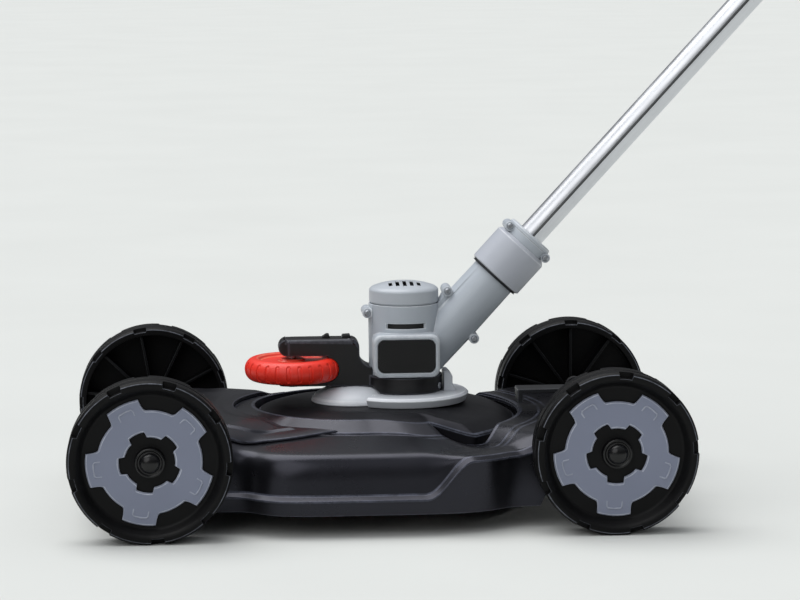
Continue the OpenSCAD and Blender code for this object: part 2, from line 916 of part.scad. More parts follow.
module badge_plates() {
    color("#1a1a1c")
        for (s = [-1, 1])
            translate([motor_x, s * (badge_y - 0.6), badge_z])
                rotate([90, 0, 0])
                    linear_extrude(height = 1.6, center = true)
                        rounded_rect(badge_w - 9.8, badge_h - 10.8, 6.6);
}

module housing_screws() {
    color("#6f7276")
        for (p = boss_at)
            translate([p[0], -15.1, p[1]])
                rotate([-90, 0, 0]) {
                    translate([0, 0, -1.8])
                        cylinder(r = 3.6, h = 1.8);
                    cylinder(r = 1.7, h = 26);
                }
}

module guard() {
    color("#1c1c1e")
        ring_loft([for (i = [0 : 119]) guard_section(turn(i * 3))]);
}

// Steel blade on the inside of the skirt that trims the line
module line_cutter() {
    color("#a3a6aa")
        translate([head_x, 0, 0])
            rotate([0, 0, -38])
                translate([guard_rear_r - 9.6, -7, line_z - 4])
                    cube([7, 14, 10]);
}

module ring(x, z, r_out, r_in, h) {
    translate([x, 0, z])
        difference() {
            cylinder(r = r_out, h = h);
            translate([0, 0, -1])
                cylinder(r = r_in, h = h + 2);
        }
}

module motor_stator() {
    color("#77797c")
        ring(motor_x, stack_low, housing_in - 0.3, core_r + 7, stack_top - stack_low);
}

// Two field windings lying in the stator's bore, one on each side
module field_coils() {
    color("#b06a3a")
        for (s = [-1, 1])
            intersection() {
                ring(motor_x, stack_low - 6, core_r + 6.6, core_r + 1.2, stack_top - stack_low + 12);
                translate([motor_x - 12, s > 0 ? 2 : -40, stack_low - 6])
                    cube([24, 38, stack_top - stack_low + 12]);
            }
}

comm_low = stack_top + 3;
comm_r = 11;
brush_l = housing_in - comm_r - 2.8;
brush_mid = comm_r + 2 + brush_l / 2;
module brush_holders() {
    color("#8a6a3a")
        for (s = [-1, 1])
            difference() {
                translate([motor_x + s * brush_mid - brush_l / 2, -5, comm_low - 0.5])
                    cube([brush_l, 10, 10]);
                translate([motor_x + s * brush_mid - brush_l / 2 - 1, -3.2, comm_low + 1.3])
                    cube([brush_l + 2, 6.4, 6.4]);
            }
}

module carbon_brushes() {
    color("#3a3a3c")
        for (s = [-1, 1])
            translate([motor_x + s * (comm_r + 0.3 + 7) - 7, -3.1, comm_low + 1.4])
                cube([14, 6.2, 6.2]);
}

// Bearings: motor shaft below and above, spindle in the dome and in the guard
top_bearing = housing_top - 4;
module ball_bearings() {
    color("#b5b8bc") {
        ring(motor_x, plate_top + 2.1, bearing_r, shaft_r + run, 7);
        ring(motor_x, top_bearing, bearing_r, shaft_r + run, 7);
        ring(head_x, spindle_seat, bearing_r, spindle_r + run, 6);
        ring(head_x, guard_top - 4.4, 13, spindle_r + run, 5);
    }
}

module armature_shaft() {
    color("#a9acb0")
        translate([motor_x, 0, plate_low + 0.4])
            cylinder(r = shaft_r, h = top_bearing + 6.5 - plate_low);
}

module armature_core() {
    color("#6c6e72")
        ring(motor_x, stack_low, core_r, shaft_r, stack_top - stack_low);
}

module commutator() {
    color("#b5793f")
        ring(motor_x, comm_low, comm_r, shaft_r, 10);
}

module motor_fan() {
    color("#2a2a2c") {
        ring(motor_x, stack_low - 12, 9, shaft_r, 5);
        ring(motor_x, stack_low - 12, housing_in - 4, 8, 1.2);
        for (a = [0 : 36 : 324])
            translate([motor_x, 0, stack_low - 11])
                rotate([0, 0, a])
                    translate([10, -0.6, 0])
                        cube([housing_in - 15, 1.2, 4]);
    }
}

module pinion() {
    color("#8f9296")
        translate([motor_x, 0, plate_low + 0.5])
            linear_extrude(height = gear_t)
                difference() {
                    rotate(180 / pinion_n)
                        gear_outline(pinion_n, gear_m, gear_back);
                    circle(r = shaft_r);
                }
}

module spindle_gear() {
    color("#d8d2c0")
        translate([head_x, 0, plate_low + 0.5])
            linear_extrude(height = gear_t)
                difference() {
                    gear_outline(gear_n, gear_m, gear_back);
                    circle(r = spindle_r);
                }
}

module spindle() {
    color("#a9acb0")
        translate([head_x, 0, line_z + 4])
            cylinder(r = spindle_r, h = spindle_seat + 5.6 - line_z - 4);
}

module spool_housing() {
    r = spool_r;
    color("#1e1e20")
        difference() {
            translate([head_x, 0, 0])
                rotate_extrude()
                    polygon([
                        [spindle_r, spool_top - 14], [r - 8, spool_top - 14], [r - 3, line_z + 8],
                        [r - 3, spool_low], [r, spool_low], [r, line_z + 9], [r - 5, spool_top - 10],
                        [r - 14, spool_top - 2], [10, spool_top - 2], [10, spool_top], [spindle_r, spool_top]
                    ]);
            translate([head_x + r - 8, 0, line_z])
                rotate([0, 90, 0])
                    cylinder(r = 3, h = 16);
        }
}

module line_eyelet() {
    color("#c9cbce")
        translate([head_x + spool_r - 3.4, 0, line_z])
            rotate([0, 90, 0])
                difference() {
                    union() {
                        cylinder(r = 2.95, h = 4.4);
                        translate([0, 0, 3.5])
                            cylinder(r = 4.4, h = 1.4);
                    }
                    translate([0, 0, -1])
                        cylinder(r = line_d / 2 + 0.25, h = 10);
                }
}

module spool() {
    color("#2c2c2e")
        translate([head_x, 0, 0])
            rotate_extrude()
                polygon([
                    [spindle_r + seat, line_z - 6], [spool_r - 6, line_z - 6], [spool_r - 6, line_z - 4],
                    [18, line_z - 4], [18, line_z + 24], [spool_r - 9, line_z + 24], [spool_r - 9, line_z + 26],
                    [spindle_r + seat, line_z + 26]
                ]);
}

module bump_cap() {
    r = spool_r;
    color("#d4442a")
        translate([head_x, 0, 0])
            rotate_extrude()
                polygon([
                    [0, line_z - 24], [14, line_z - 24], [20, line_z - 22], [r - 8, line_z - 16],
                    [r - 1, spool_low - 1], [r - 1, spool_low - 0.3], [r - 3.5, spool_low - 0.3],
                    [r - 3.5, spool_low + 3], [r - 5, spool_low + 3], [r - 6, spool_low - 2],
                    [18, line_z - 18], [0, line_z - 20]
                ]);
}

// Compression spring between the bump cap and the spool
module spool_spring() {
    color("#a3a6aa")
        translate([head_x, 0, line_z - 18.3])
            coil_spring(9.4, 0.9, 4, 12);
}

module cutting_line() {
    color("#dcdcd2")
        translate([head_x + spool_r - 8, 0, line_z])
            rotate([0, 90, 0])
                cylinder(r = line_d / 2, h = cut_r - spool_r + 8);
}

// Twist collar on the neck: plain sleeve with chamfered ends, on a narrow grooved ring
module twist_collar() {
    r = collar_d / 2;
    h = collar_s1 - collar_s0 - 2 * seat;
    color("#92959d")
        along_tube(collar_s0 + seat)
            rotate_extrude()
                polygon([
                    [tube_r + seat, 0], [r - 4.5, 0], [r - 4.5, 1.6], [r - 2.5, 1.6], [r - 2.5, 2.8],
                    [r - 4.5, 2.8], [r - 4.5, 4.4], [r - 1.5, 4.4], [r, 5.9], [r, h - 2.5], [r - 2.5, h],
                    [tube_r + seat, h]
                ]);
}

// Split clamp on the tube above the collar, with ears for two screws
ear = tube_r + 11;
module tube_clamp() {
    color("#8e949b")
        along_tube(collar_s1 + seat)
            difference() {
                union() {
                    cylinder(r = tube_r + 9.5, h = 17);
                    for (s = [-1, 1])
                        translate([s * ear, 0, 8.5])
                            rotate([90, 0, 0])
                                cylinder(r = 6.5, h = 30, center = true);
                }
                translate([0, 0, -1])
                    cylinder(r = tube_r + 0.02, h = 30);
                for (s = [-1, 1])
                    translate([s * ear, 0, 8.5])
                        rotate([90, 0, 0])
                            cylinder(r = 2, h = 50, center = true);
            }
}

module clamp_screws() {
    color("#6f7276")
        along_tube(collar_s1 + seat)
            for (s = [-1, 1])
                translate([s * ear, -15.1, 8.5])
                    rotate([-90, 0, 0]) {
                        translate([0, 0, -2])
                            cylinder(r = 3.8, h = 2);
                        cylinder(r = 1.9, h = 28);
                    }
}

module tube() {
    color("#d9dbdd")
        along_tube(0)
            difference() {
                translate([0, 0, collar_s0 - 10])
                    cylinder(r = tube_r, h = tube_s1 - collar_s0 + 10);
                translate([0, 0, collar_s0 - 11])
                    cylinder(r = tube_r - 1.5, h = tube_s1);
                translate([-1.5, -tube_r - 2, clamp_s1 + 2])
                    cube([3, 2.6, tube_s1]);
            }
}

// Auxiliary handle: clamp round the tube and a ring that tilts on it
aux_pivot = tube_r + 17;
aux_ring = 56;
module aux_clamp() {
    color("#232325")
        along_tube(aux_s)
            difference() {
                union() {
                    cylinder(r = tube_r + 7, h = 40);
                    for (s = [-1, 1])
                        translate([-aux_pivot, s * 17 + 3, 20])
                            rotate([90, 0, 0])
                                cylinder(r = 11, h = 6);
                    for (s = [-1, 1])
                        translate([-aux_pivot, s * 17 - 3, 9])
                            cube([aux_pivot, 6, 22]);
                    translate([-aux_pivot, 0, 20])
                        rotate([90, 0, 0])
                            cylinder(r = 4, h = 44, center = true);
                }
                translate([0, 0, -1])
                    cylinder(r = tube_r + 0.02, h = 60);
            }
}

module aux_handle() {
    color("#1f1f21")
        along_tube(aux_s)
            difference() {
                union() {
                    translate([-aux_pivot - aux_ring - 24, 0, 20])
                        rotate_extrude()
                            translate([aux_ring, 0])
                                circle(r = 11);
                    translate([-aux_pivot, 0, 20])
                        rotate([90, 0, 0])
                            cylinder(r = 9.5, h = 27, center = true);
                    translate([-aux_pivot - 26, -13.5, 11])
                        cube([26, 27, 18]);
                }
                translate([-aux_pivot, 0, 20])
                    rotate([90, 0, 0])
                        cylinder(r = 4 + run, h = 60, center = true);
                translate([0, 0, -40])
                    cylinder(r = tube_r + 7 + seat, h = 120);
            }
}

// Handle, in the tube's frame: sleeve, closed grip loop and end boss
trigger_s = handle_s + 118;
trigger_h = 46;
module handle_outline() {
    difference() {
        union() {
            translate([-22, handle_s])
                square([44, 92]);
            translate([-grip_top + 8, handle_s + 60])
                square([loop_low + grip_top - 16, 210]);
            translate([-grip_top, handle_s + 68])
                square([loop_low + grip_top, 194]);
            for (x = [-grip_top + 8, loop_low - 8])
                for (z = [handle_s + 68, handle_s + 262])
                    translate([x, z])
                        circle(r = 8);
            translate([-16, handle_s + 260])
                square([32, handle_end - handle_s - 260]);
        }
        translate([12 + 10, handle_s + 98])
            square([loop_low - 18 - 32, 142]);
        translate([12, handle_s + 108])
            square([loop_low - 18 - 12, 122]);
        for (x = [22, loop_low - 28])
            for (z = [handle_s + 108, handle_s + 230])
                translate([x, z])
                    circle(r = 10);
    }
}

handle_screw_at = [
    [-16, handle_s + 12], [16, handle_s + 12], [4, handle_s + 178], [loop_low - 9, handle_s + 86],
    [loop_low - 9, handle_s + 252], [-14, handle_s + 252]
];

module handle_half_piece(s) {
    color("#29292b")
        along_tube(0)
            difference() {
                rotate([90, 0, 0])
                    translate([0, 0, s > 0 ? -handle_half : 0])
                        linear_extrude(height = handle_half)
                            handle_outline();
                translate([0, 0, handle_s - 1])
                    cylinder(r = tube_r + run, h = tube_s1 - handle_s + slide + 3);
                translate([-8, -8.4, trigger_s - 4])
                    cube([40, 16.8, trigger_h + 8]);
                translate([-grip_top - 4, -6.4, trigger_s + 70])
                    cube([24, 12.8, 24.8]);
                for (p = handle_screw_at)
                    translate([p[0], 0, p[1]])
                        rotate([90, 0, 0])
                            cylinder(r = 1.7, h = 100, center = true);
                translate([-10, -12, handle_end - 22])
                    cube([20, 24, 40]);
            }
}

module handle_left() {
    handle_half_piece(-1);
}

module handle_right() {
    handle_half_piece(1);
}

module handle_screws() {
    color("#6f7276")
        along_tube(0)
            for (p = handle_screw_at)
                translate([p[0], -handle_half - 0.1, p[1]])
                    rotate([-90, 0, 0]) {
                        translate([0, 0, -1.6])
                            cylinder(r = 3.2, h = 1.6);
                        cylinder(r = 1.6, h = handle_half + 12);
                    }
}

module trigger() {
    color("#d62425")
        along_tube(0)
            translate([0, 0, trigger_s]) {
                translate([4, -8, 0])
                    cube([16, 16, trigger_h]);
                translate([2, -8, 2])
                    cube([6, 16, trigger_h - 4]);
                translate([20, 0, 8])
                    rotate([90, 0, 0])
                        cylinder(r = 8, h = 16, center = true);
            }
}

module lock_button() {
    color("#d62425")
        along_tube(0)
            translate([-grip_top - 4, -6, trigger_s + 70.4])
                cube([18, 12, 24]);
}

deck_shell();
front_cover();
front_axle();
rear_axle();
front_axle_beam();
rear_axle_beam();
axle_caps();
deck_screws();
pedal_bracket();
pedal_pin();
pedal_spring();
release_pedal();
wheel_front_left();
wheel_front_right();
wheel_rear_left();
wheel_rear_right();
hubcap_front_left();
hubcap_front_right();
hubcap_rear_left();
hubcap_rear_right();
gear_case();
lower_body();
housing_left();
housing_right();
motor_cap();
badge_plates();
housing_screws();
guard();
line_cutter();
motor_stator();
field_coils();
brush_holders();
carbon_brushes();
ball_bearings();
guide_pin();
twist_collar();
armature_shaft();
armature_core();
commutator();
motor_fan();
pinion();
spindle();
spindle_gear();
spool_housing();
spool();
bump_cap();
spool_spring();
line_eyelet();
cutting_line();
guide_wheel();
tube();
tube_clamp();
clamp_screws();
aux_clamp();
aux_handle();
handle_left();
handle_right();
handle_screws();
trigger();
lock_button();
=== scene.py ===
# %% [markdown]
# # A string trimmer docked in its wheeled deck
# The machine is a string trimmer that stands in a four-wheeled deck, so that it can be pushed like a small mower.
# Its solids come from the imported frame, in metres, with +X to the rear, +Z up and the ground at zero.
# We load them first, and a helper reads the box of any solid.

import math

import bmesh
import bpy
from mathutils import Matrix, Vector


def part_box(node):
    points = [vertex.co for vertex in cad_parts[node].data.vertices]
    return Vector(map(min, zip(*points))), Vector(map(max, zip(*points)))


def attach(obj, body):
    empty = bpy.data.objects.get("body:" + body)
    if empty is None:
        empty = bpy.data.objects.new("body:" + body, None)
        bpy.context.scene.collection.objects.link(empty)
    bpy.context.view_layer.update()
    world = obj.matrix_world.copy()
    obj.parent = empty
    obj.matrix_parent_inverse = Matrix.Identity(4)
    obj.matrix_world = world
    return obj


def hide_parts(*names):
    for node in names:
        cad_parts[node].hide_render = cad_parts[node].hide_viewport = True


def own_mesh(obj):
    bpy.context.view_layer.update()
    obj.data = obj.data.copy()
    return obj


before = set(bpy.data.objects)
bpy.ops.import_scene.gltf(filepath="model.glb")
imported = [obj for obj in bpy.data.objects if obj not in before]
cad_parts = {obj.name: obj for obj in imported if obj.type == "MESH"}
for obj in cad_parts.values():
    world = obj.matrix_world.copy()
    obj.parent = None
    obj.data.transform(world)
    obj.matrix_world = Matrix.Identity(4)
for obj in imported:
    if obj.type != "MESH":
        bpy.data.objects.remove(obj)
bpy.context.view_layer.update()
MM = 0.001

# %% [markdown]
# ## Camera
# The photograph was taken from the machine's left with a long lens, a little in front of the middle and a little
# above it. A long lens keeps the near and the far wheels almost the same size. The place and the angles below were
# worked out from where the four hubs stand in the picture, so no lens shift is needed.

# %% Place the camera
SENSOR_MM, FOCAL_PX, PICTURE_PX = 36.0, 3060.7, 800
CAMERA_AT = (-0.1814, -3.0982, 0.6175)
YAW, PITCH, ROLL = math.radians(3.89), math.radians(7.52), math.radians(-0.43)
camera_data = bpy.data.cameras.new("camera")
camera_data.sensor_width = SENSOR_MM
camera_data.lens = SENSOR_MM * FOCAL_PX / PICTURE_PX
camera_data.clip_end = 100.0
camera = bpy.data.objects.new("camera", camera_data)
bpy.context.scene.collection.objects.link(camera)
turned = Matrix.Rotation(-YAW, 4, "Z") @ Matrix.Rotation(math.pi / 2 - PITCH, 4, "X") @ Matrix.Rotation(ROLL, 4, "Z")
camera.matrix_world = Matrix.Translation(CAMERA_AT) @ turned
bpy.context.scene.camera = camera
print("lens:", round(camera_data.lens, 1), "mm")

# %% [markdown]
# ## Helpers for finishes
# A colour picked from a picture is sRGB, but a shader works in linear light, so one function converts a hex value, and
# another makes it darker or brighter. A third starts a material with an empty tree. The last one adds a node with its
# settings and links, and serves shaders and Geometry Nodes alike.

# %% Colour and node helpers
def linear(hex_colour):
    """Linear light of an sRGB hex value."""
    channels = [int(hex_colour[i : i + 2], 16) / 255 for i in (1, 3, 5)]
    light = [c / 12.92 if c <= 0.04045 else ((c + 0.055) / 1.055) ** 2.4 for c in channels]
    return (*light, 1.0)


def toned(colour, factor):
    """The same colour, darker or brighter by a factor."""
    return (*(min(1.0, c * factor) for c in colour[:3]), 1.0)


def blank_finish(name):
    """A new material and its empty tree."""
    finish = bpy.data.materials.new(name)
    finish.use_nodes = True
    finish.node_tree.nodes.clear()
    return finish, finish.node_tree


def put(tree, kind, inputs=None, **settings):
    """Add a node, make its settings, and link its inputs or give them values."""
    node = tree.nodes.new(kind)
    for key, value in settings.items():
        setattr(node, key, value)
    for key, value in (inputs or {}).items():
        if isinstance(value, bpy.types.NodeSocket):
            tree.links.new(value, node.inputs[key])
        else:
            node.inputs[key].default_value = value
    return node


print("mid grey in linear light:", [round(c, 3) for c in linear("#808080")[:3]])

# %% [markdown]
# ## Floor and light
# The part is shown on a plain pale floor, so large that it fills the picture. A sun that is spread over a wide angle
# stands for a bright sky with thin cloud: unlike a lamp close by, it lights the floor evenly out to the horizon. A
# second, weaker one lifts the side that faces the camera. The world adds an even level that grows towards the zenith,
# because black plastic is seen mostly by what it reflects.

# %% Floor
FLOOR_HALF = 60
bpy.context.scene.view_settings.view_transform = "Standard"
floor_mesh = bpy.data.meshes.new("floor")
floor_mesh.from_pydata(
    [(x * FLOOR_HALF, y * FLOOR_HALF, 0) for x, y in ((-1, -1), (1, -1), (1, 1), (-1, 1))], [], [(0, 1, 2, 3)]
)
floor = bpy.data.objects.new("floor", floor_mesh)
bpy.context.scene.collection.objects.link(floor)
paper, tree = blank_finish("matt_floor_paint")
place = put(tree, "ShaderNodeTexCoord").outputs["Object"]
cloud = put(tree, "ShaderNodeTexNoise", {"Vector": place, "Scale": 3.0, "Detail": 4.0}).outputs["Fac"]
tone = put(
    tree, "ShaderNodeMix", {0: cloud, 6: linear("#ced0cd"), 7: linear("#d5d7d4")}, data_type="RGBA"
).outputs[2]
shader = put(tree, "ShaderNodeBsdfPrincipled", {"Base Color": tone, "Roughness": 0.9, "Specular IOR Level": 0.1})
put(tree, "ShaderNodeOutputMaterial", {0: shader.outputs[0]})
floor_mesh.materials.append(paper)
print("floor:", floor.name)

# %% Lamps and world
def add_sun(name, energy, spread, at):
    """A sun that shines from the given side on the origin, as soft as its spread in degrees."""
    data = bpy.data.lights.new(name, "SUN")
    data.energy = energy
    data.angle = math.radians(spread)
    lamp = bpy.data.objects.new(name, data)
    facing = (-Vector(at)).to_track_quat("-Z", "Y")
    lamp.matrix_world = Matrix.Translation(at) @ facing.to_matrix().to_4x4()
    bpy.context.scene.collection.objects.link(lamp)
    return lamp


sky = add_sun("lamp_sky", 2.5, 58, (-0.9, 0.35, 3.0))
near = add_sun("lamp_near_side", 0.7, 45, (-1.6, -2.8, 1.9))
world = bpy.data.worlds.new("studio")
bpy.context.scene.world = world
world.use_nodes = True
tree = world.node_tree
tree.nodes.clear()
up = put(tree, "ShaderNodeSeparateXYZ", {0: put(tree, "ShaderNodeTexCoord").outputs["Generated"]}).outputs["Z"]
level = put(
    tree, "ShaderNodeMapRange", {0: up, 1: 0.05, 2: 0.9, 3: 0.07, 4: 0.55}, interpolation_type="SMOOTHSTEP"
).outputs[0]
light = put(tree, "ShaderNodeBackground", {"Color": linear("#f2f5fa"), "Strength": level})
put(tree, "ShaderNodeOutputWorld", {0: light.outputs[0]})
print("lamps:", sky.name, near.name)

# %% [markdown]
# ## Moulded plastics
# Most of the machine is injection moulded: filled polypropylene for the deck and wheels, ABS for the housing, nylon
# for the pieces that rub. A mould leaves a fine spark-eroded grain, flow marks make the colour and the gloss drift a
# little over a few centimetres, and edges that are knocked go paler. The small rounded edges are also painted paler
# as a highlight along the bevels. They carry a number called wear_and_highlight, which the finish reads. The grain is
# about 0.3 mm on the real part and is drawn three times as coarse, so that it shows at all in the picture.

# %% Plastic finish
FLOW_MM, SCUFF_MM = 55, 9


def moulded(name, colour, edge, rough, grain_mm=0.9, grain_deep=0.06, spread=0.10, shine=0.5, tint="#ffffff"):
    """Colour, colour of rubbed edges with a painted highlight, roughness, grain, drift of the colour, and level and
    tint of the gloss.
    """
    finish, tree = blank_finish(name)
    place = put(tree, "ShaderNodeTexCoord").outputs["Object"]
    flow = put(
        tree, "ShaderNodeTexNoise", {"Vector": place, "Scale": 1000 / FLOW_MM, "Detail": 4.0, "Roughness": 0.6}
    ).outputs[0]
    grain = put(tree, "ShaderNodeTexNoise", {"Vector": place, "Scale": 1000 / grain_mm, "Detail": 2.0}).outputs[0]
    scuff = put(
        tree, "ShaderNodeTexNoise", {"Vector": place, "Scale": 1000 / SCUFF_MM, "Detail": 5.0, "Roughness": 0.7}
    ).outputs[0]
    base = linear(colour)
    deep, pale = toned(base, 1 - spread), toned(base, 1 + spread)
    body = put(tree, "ShaderNodeMix", {0: flow, 6: deep, 7: pale}, data_type="RGBA").outputs[2]
    # The small rounded edges are painted paler: partly wear, partly a painted highlight along the bevels.
    rubbed_and_lit = put(tree, "ShaderNodeAttribute", attribute_name="wear_and_highlight").outputs["Fac"]
    patchy = put(tree, "ShaderNodeMapRange", {0: scuff, 1: 0.42, 2: 0.68, 3: 0.35, 4: 0.85}).outputs[0]
    share = put(tree, "ShaderNodeMath", {0: rubbed_and_lit, 1: patchy}, operation="MULTIPLY").outputs[0]
    colour_out = put(tree, "ShaderNodeMix", {0: share, 6: body, 7: linear(edge)}, data_type="RGBA").outputs[2]
    gloss = put(tree, "ShaderNodeMapRange", {0: flow, 1: 0.3, 2: 0.7, 3: rough - 0.05, 4: rough + 0.06}).outputs[0]
    height = put(tree, "ShaderNodeBump", {"Strength": grain_deep * 4, "Distance": 0.0002, "Height": grain}).outputs[0]
    shader = put(
        tree,
        "ShaderNodeBsdfPrincipled",
        {
            "Base Color": colour_out,
            "Roughness": gloss,
            "Normal": height,
            "Specular IOR Level": shine,
            "Specular Tint": linear(tint),
        },
    )
    put(tree, "ShaderNodeOutputMaterial", {0: shader.outputs[0]})
    return finish


print("flow marks and scuffs, in mm:", FLOW_MM, SCUFF_MM)

# %% Plastics of the machine
# The second colour of each plastic is its edge colour: wear and a painted highlight on the small bevels.
BLUISH = "#e6e7fb"
deck_plastic = moulded("filled_polypropylene_black_moulded", "#0f0f12", "#50535f", 0.29, shine=0.46, tint=BLUISH)
cover_plastic = moulded(
    "filled_polypropylene_black_grained", "#111114", "#50535f", 0.33, 1.4, 0.10, shine=0.44, tint=BLUISH
)
tyre_plastic = moulded("polypropylene_tyre_black_moulded", "#080809", "#7c808a", 0.48, 1.1, 0.08, shine=0.15)
hubcap_plastic = moulded("polypropylene_slate_grey_moulded", "#787e91", "#c3c8d4", 0.40, 0.8, 0.05, 0.06)
housing_plastic = moulded("abs_mid_grey_moulded", "#adb4bc", "#d2d6da", 0.38, 0.8, 0.05, 0.05)
cap_plastic = moulded("abs_mid_grey_polished", "#b2b8bf", "#d8dbde", 0.34, 0.8, 0.04, 0.05)
case_plastic = moulded("abs_light_grey_moulded", "#c2c6cc", "#e0e3e6", 0.40, 0.8, 0.05, 0.04)
collar_plastic = moulded("abs_collar_grey_moulded", "#aeb2bb", "#d0d3d8", 0.40, 0.8, 0.05, 0.05)
body_plastic = moulded("nylon_black_glass_filled", "#121113", "#4e4f58", 0.40, shine=0.34)
guard_plastic = moulded("polypropylene_guard_black", "#0c0c0e", "#5a5e6a", 0.46, shine=0.18, tint=BLUISH)
trim_plastic = moulded("nylon_trim_black", "#121213", "#3c3d42", 0.40, shine=0.36)
glossy_plastic = moulded("nylon_axle_cap_black_polished", "#0a0a0b", "#3c3d42", 0.24, shine=0.36)
seal_rubber = moulded("nitrile_seal_black", "#1c1d20", "#4a4c52", 0.5, 0.9, 0.08)
red_plastic = moulded("abs_red_moulded", "#e9301f", "#f58468", 0.36, 0.8, 0.05, 0.07)
badge_plastic = moulded("polycarbonate_black_gloss", "#0c0c0e", "#2c2d32", 0.30, 1.2, 0.02, shine=0.25)
pedal_plastic = moulded("nylon_dark_grey_moulded", "#202124", "#4a4c52", 0.46, shine=0.36)
grip_rubber = moulded("soft_elastomer_black_matt", "#202022", "#47484c", 0.62, 1.6, 0.14)
gear_nylon = moulded("nylon_natural_cut", "#d8d2c0", "#ebe7da", 0.45, 0.8, 0.04, 0.05)
fan_plastic = moulded("nylon_fan_black", "#2a2a2c", "#55565a", 0.45)
carbon_black = moulded("pressed_carbon", "#333335", "#5a5a5c", 0.6, 0.5, 0.12)
line_nylon = moulded("nylon_line_clear_drawn", "#dcdcd2", "#eeeee8", 0.3, 0.8, 0.03, 0.04)
print("plastics:", len([m for m in bpy.data.materials if m.use_nodes]))

# %% [markdown]
# ## Metals
# The tube is drawn aluminium, bright anodised: fine lines run along it from the die. The screws and pins are zinc
# plated steel, the axles are ground bar, and inside the motor there are lamination stacks, enamelled copper and a
# copper commutator. A metal's colour is its reflection, so metallic is one and the IOR stays at its default. Rounded
# edges are painted paler, for wear and as a painted highlight. The faces in the groove of the tube carry a number
# called groove_shade, and the colour is painted dark there as the shade in the groove.

# %% Metal finish
TUBE_TURN = math.radians(90 - 47.25)
HAZE_MM = 40


def metal(name, colour, rough, streak_mm=(1.2, 1.2, 1.2), tilt=0.0, deep=0.04):
    """Colour, roughness, spacing of the streaks along X, Y and Z, how far they are tilted, and their depth."""
    finish, tree = blank_finish(name)
    place = put(tree, "ShaderNodeTexCoord").outputs["Object"]
    straight = put(tree, "ShaderNodeVectorRotate", {"Vector": place, "Angle": -tilt}, rotation_type="Y_AXIS").outputs[0]
    scaled = put(
        tree, "ShaderNodeMapping", {"Vector": straight, "Scale": tuple(1000 / s for s in streak_mm)}
    ).outputs[0]
    streak = put(tree, "ShaderNodeTexNoise", {"Vector": scaled, "Scale": 1.0, "Detail": 3.0}).outputs[0]
    haze = put(tree, "ShaderNodeTexNoise", {"Vector": place, "Scale": 1000 / HAZE_MM, "Detail": 3.0}).outputs[0]
    base = linear(colour)
    body = put(tree, "ShaderNodeMix", {0: streak, 6: toned(base, 0.86), 7: base}, data_type="RGBA").outputs[2]
    rubbed_and_lit = put(tree, "ShaderNodeAttribute", attribute_name="wear_and_highlight").outputs["Fac"]
    # Rounded edges are painted paler, for wear and as a painted highlight.
    rubbed_lit_body = put(tree, "ShaderNodeMix", {0: rubbed_and_lit, 6: body, 7: toned(base, 1.25)}, data_type="RGBA").outputs[2]
    # Painted shade: the faces in the tube's groove are painted dark, as the shade that falls in it.
    groove_shade = put(tree, "ShaderNodeAttribute", attribute_name="groove_shade").outputs["Fac"]
    colour_out = put(tree, "ShaderNodeMix", {0: groove_shade, 6: rubbed_lit_body, 7: toned(base, 0.24)}, data_type="RGBA").outputs[2]
    gloss = put(tree, "ShaderNodeMapRange", {0: haze, 1: 0.3, 2: 0.7, 3: rough - 0.05, 4: rough + 0.07}).outputs[0]
    height = put(tree, "ShaderNodeBump", {"Strength": deep * 4, "Distance": 0.0001, "Height": streak}).outputs[0]
    shader = put(
        tree,
        "ShaderNodeBsdfPrincipled",
        {"Base Color": colour_out, "Roughness": gloss, "Normal": height, "Metallic": 1.0},
    )
    put(tree, "ShaderNodeOutputMaterial", {0: shader.outputs[0]})
    return finish


print("the tube leans", round(math.degrees(TUBE_TURN), 2), "degrees from upright")

# %% Metals of the machine
tube_metal = metal("aluminium_drawn_bright_anodised", "#d8dade", 0.36, (0.9, 0.9, 60), TUBE_TURN, 0.012)
axle_steel = metal("steel_ground_bar", "#9a9da1", 0.32, (1, 30, 1))
screw_steel = metal("steel_zinc_plated", "#9da0a4", 0.34)
dark_screw = metal("steel_phosphated_grey", "#94979c", 0.40)
spring_steel = metal("spring_steel_wire", "#a3a6aa", 0.3)
gear_steel = metal("steel_sintered_gear", "#8f9296", 0.38)
stack_steel = metal("silicon_steel_laminations", "#5a5c5f", 0.5, (60, 60, 0.7), 0.0, 0.12)
winding_copper = metal("copper_enamelled_wire", "#9a5a30", 0.35, (40, 40, 0.9), 0.0, 0.16)
brass_plate = metal("brass_pressed", "#a9873f", 0.35)
print("metals:", tube_metal.name, axle_steel.name)

# %% [markdown]
# ## Rounded copies of the solids
# A CAD solid has perfectly sharp edges, and no moulded or turned piece does. For each plain piece we copy its mesh,
# merge the loose triangles, pair them into quads and bevel the sharp edges. Some edges have a larger radius than the
# rest, and these are picked by their place and bevelled first. The new faces get wear_and_highlight = 1, so the finish
# paints them paler, for wear and as a painted highlight. The normals are then weighted by area, which keeps the flat
# faces flat.

# %% Draw a mesh and hang it on its body
def drawn(bm, smooth=38, name="pattern"):
    """A mesh with soft shading, except over edges that are sharper than the angle."""
    for face in bm.faces:
        face.smooth = True
    for edge in bm.edges:
        edge.smooth = len(edge.link_faces) == 2 and edge.calc_face_angle(0.0) < math.radians(smooth)
    mesh = bpy.data.meshes.new(name)
    bm.to_mesh(mesh)
    bm.free()
    return mesh


def hang(piece, body, nodes):
    """Let a piece move with its body and stand for the solids that it replaces."""
    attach(piece, body)
    if nodes:
        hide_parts(*nodes)
    return piece


def finish_mesh(name, bm, material, body, nodes, smooth=38):
    """A finished piece of one material, with its normals weighted by area."""
    mesh = drawn(bm, smooth, name)
    mesh.materials.append(material)
    piece = bpy.data.objects.new(name, mesh)
    bpy.context.scene.collection.objects.link(piece)
    flat = piece.modifiers.new("flat_faces", "WEIGHTED_NORMAL")
    flat.keep_sharp = True
    return hang(piece, body, nodes)


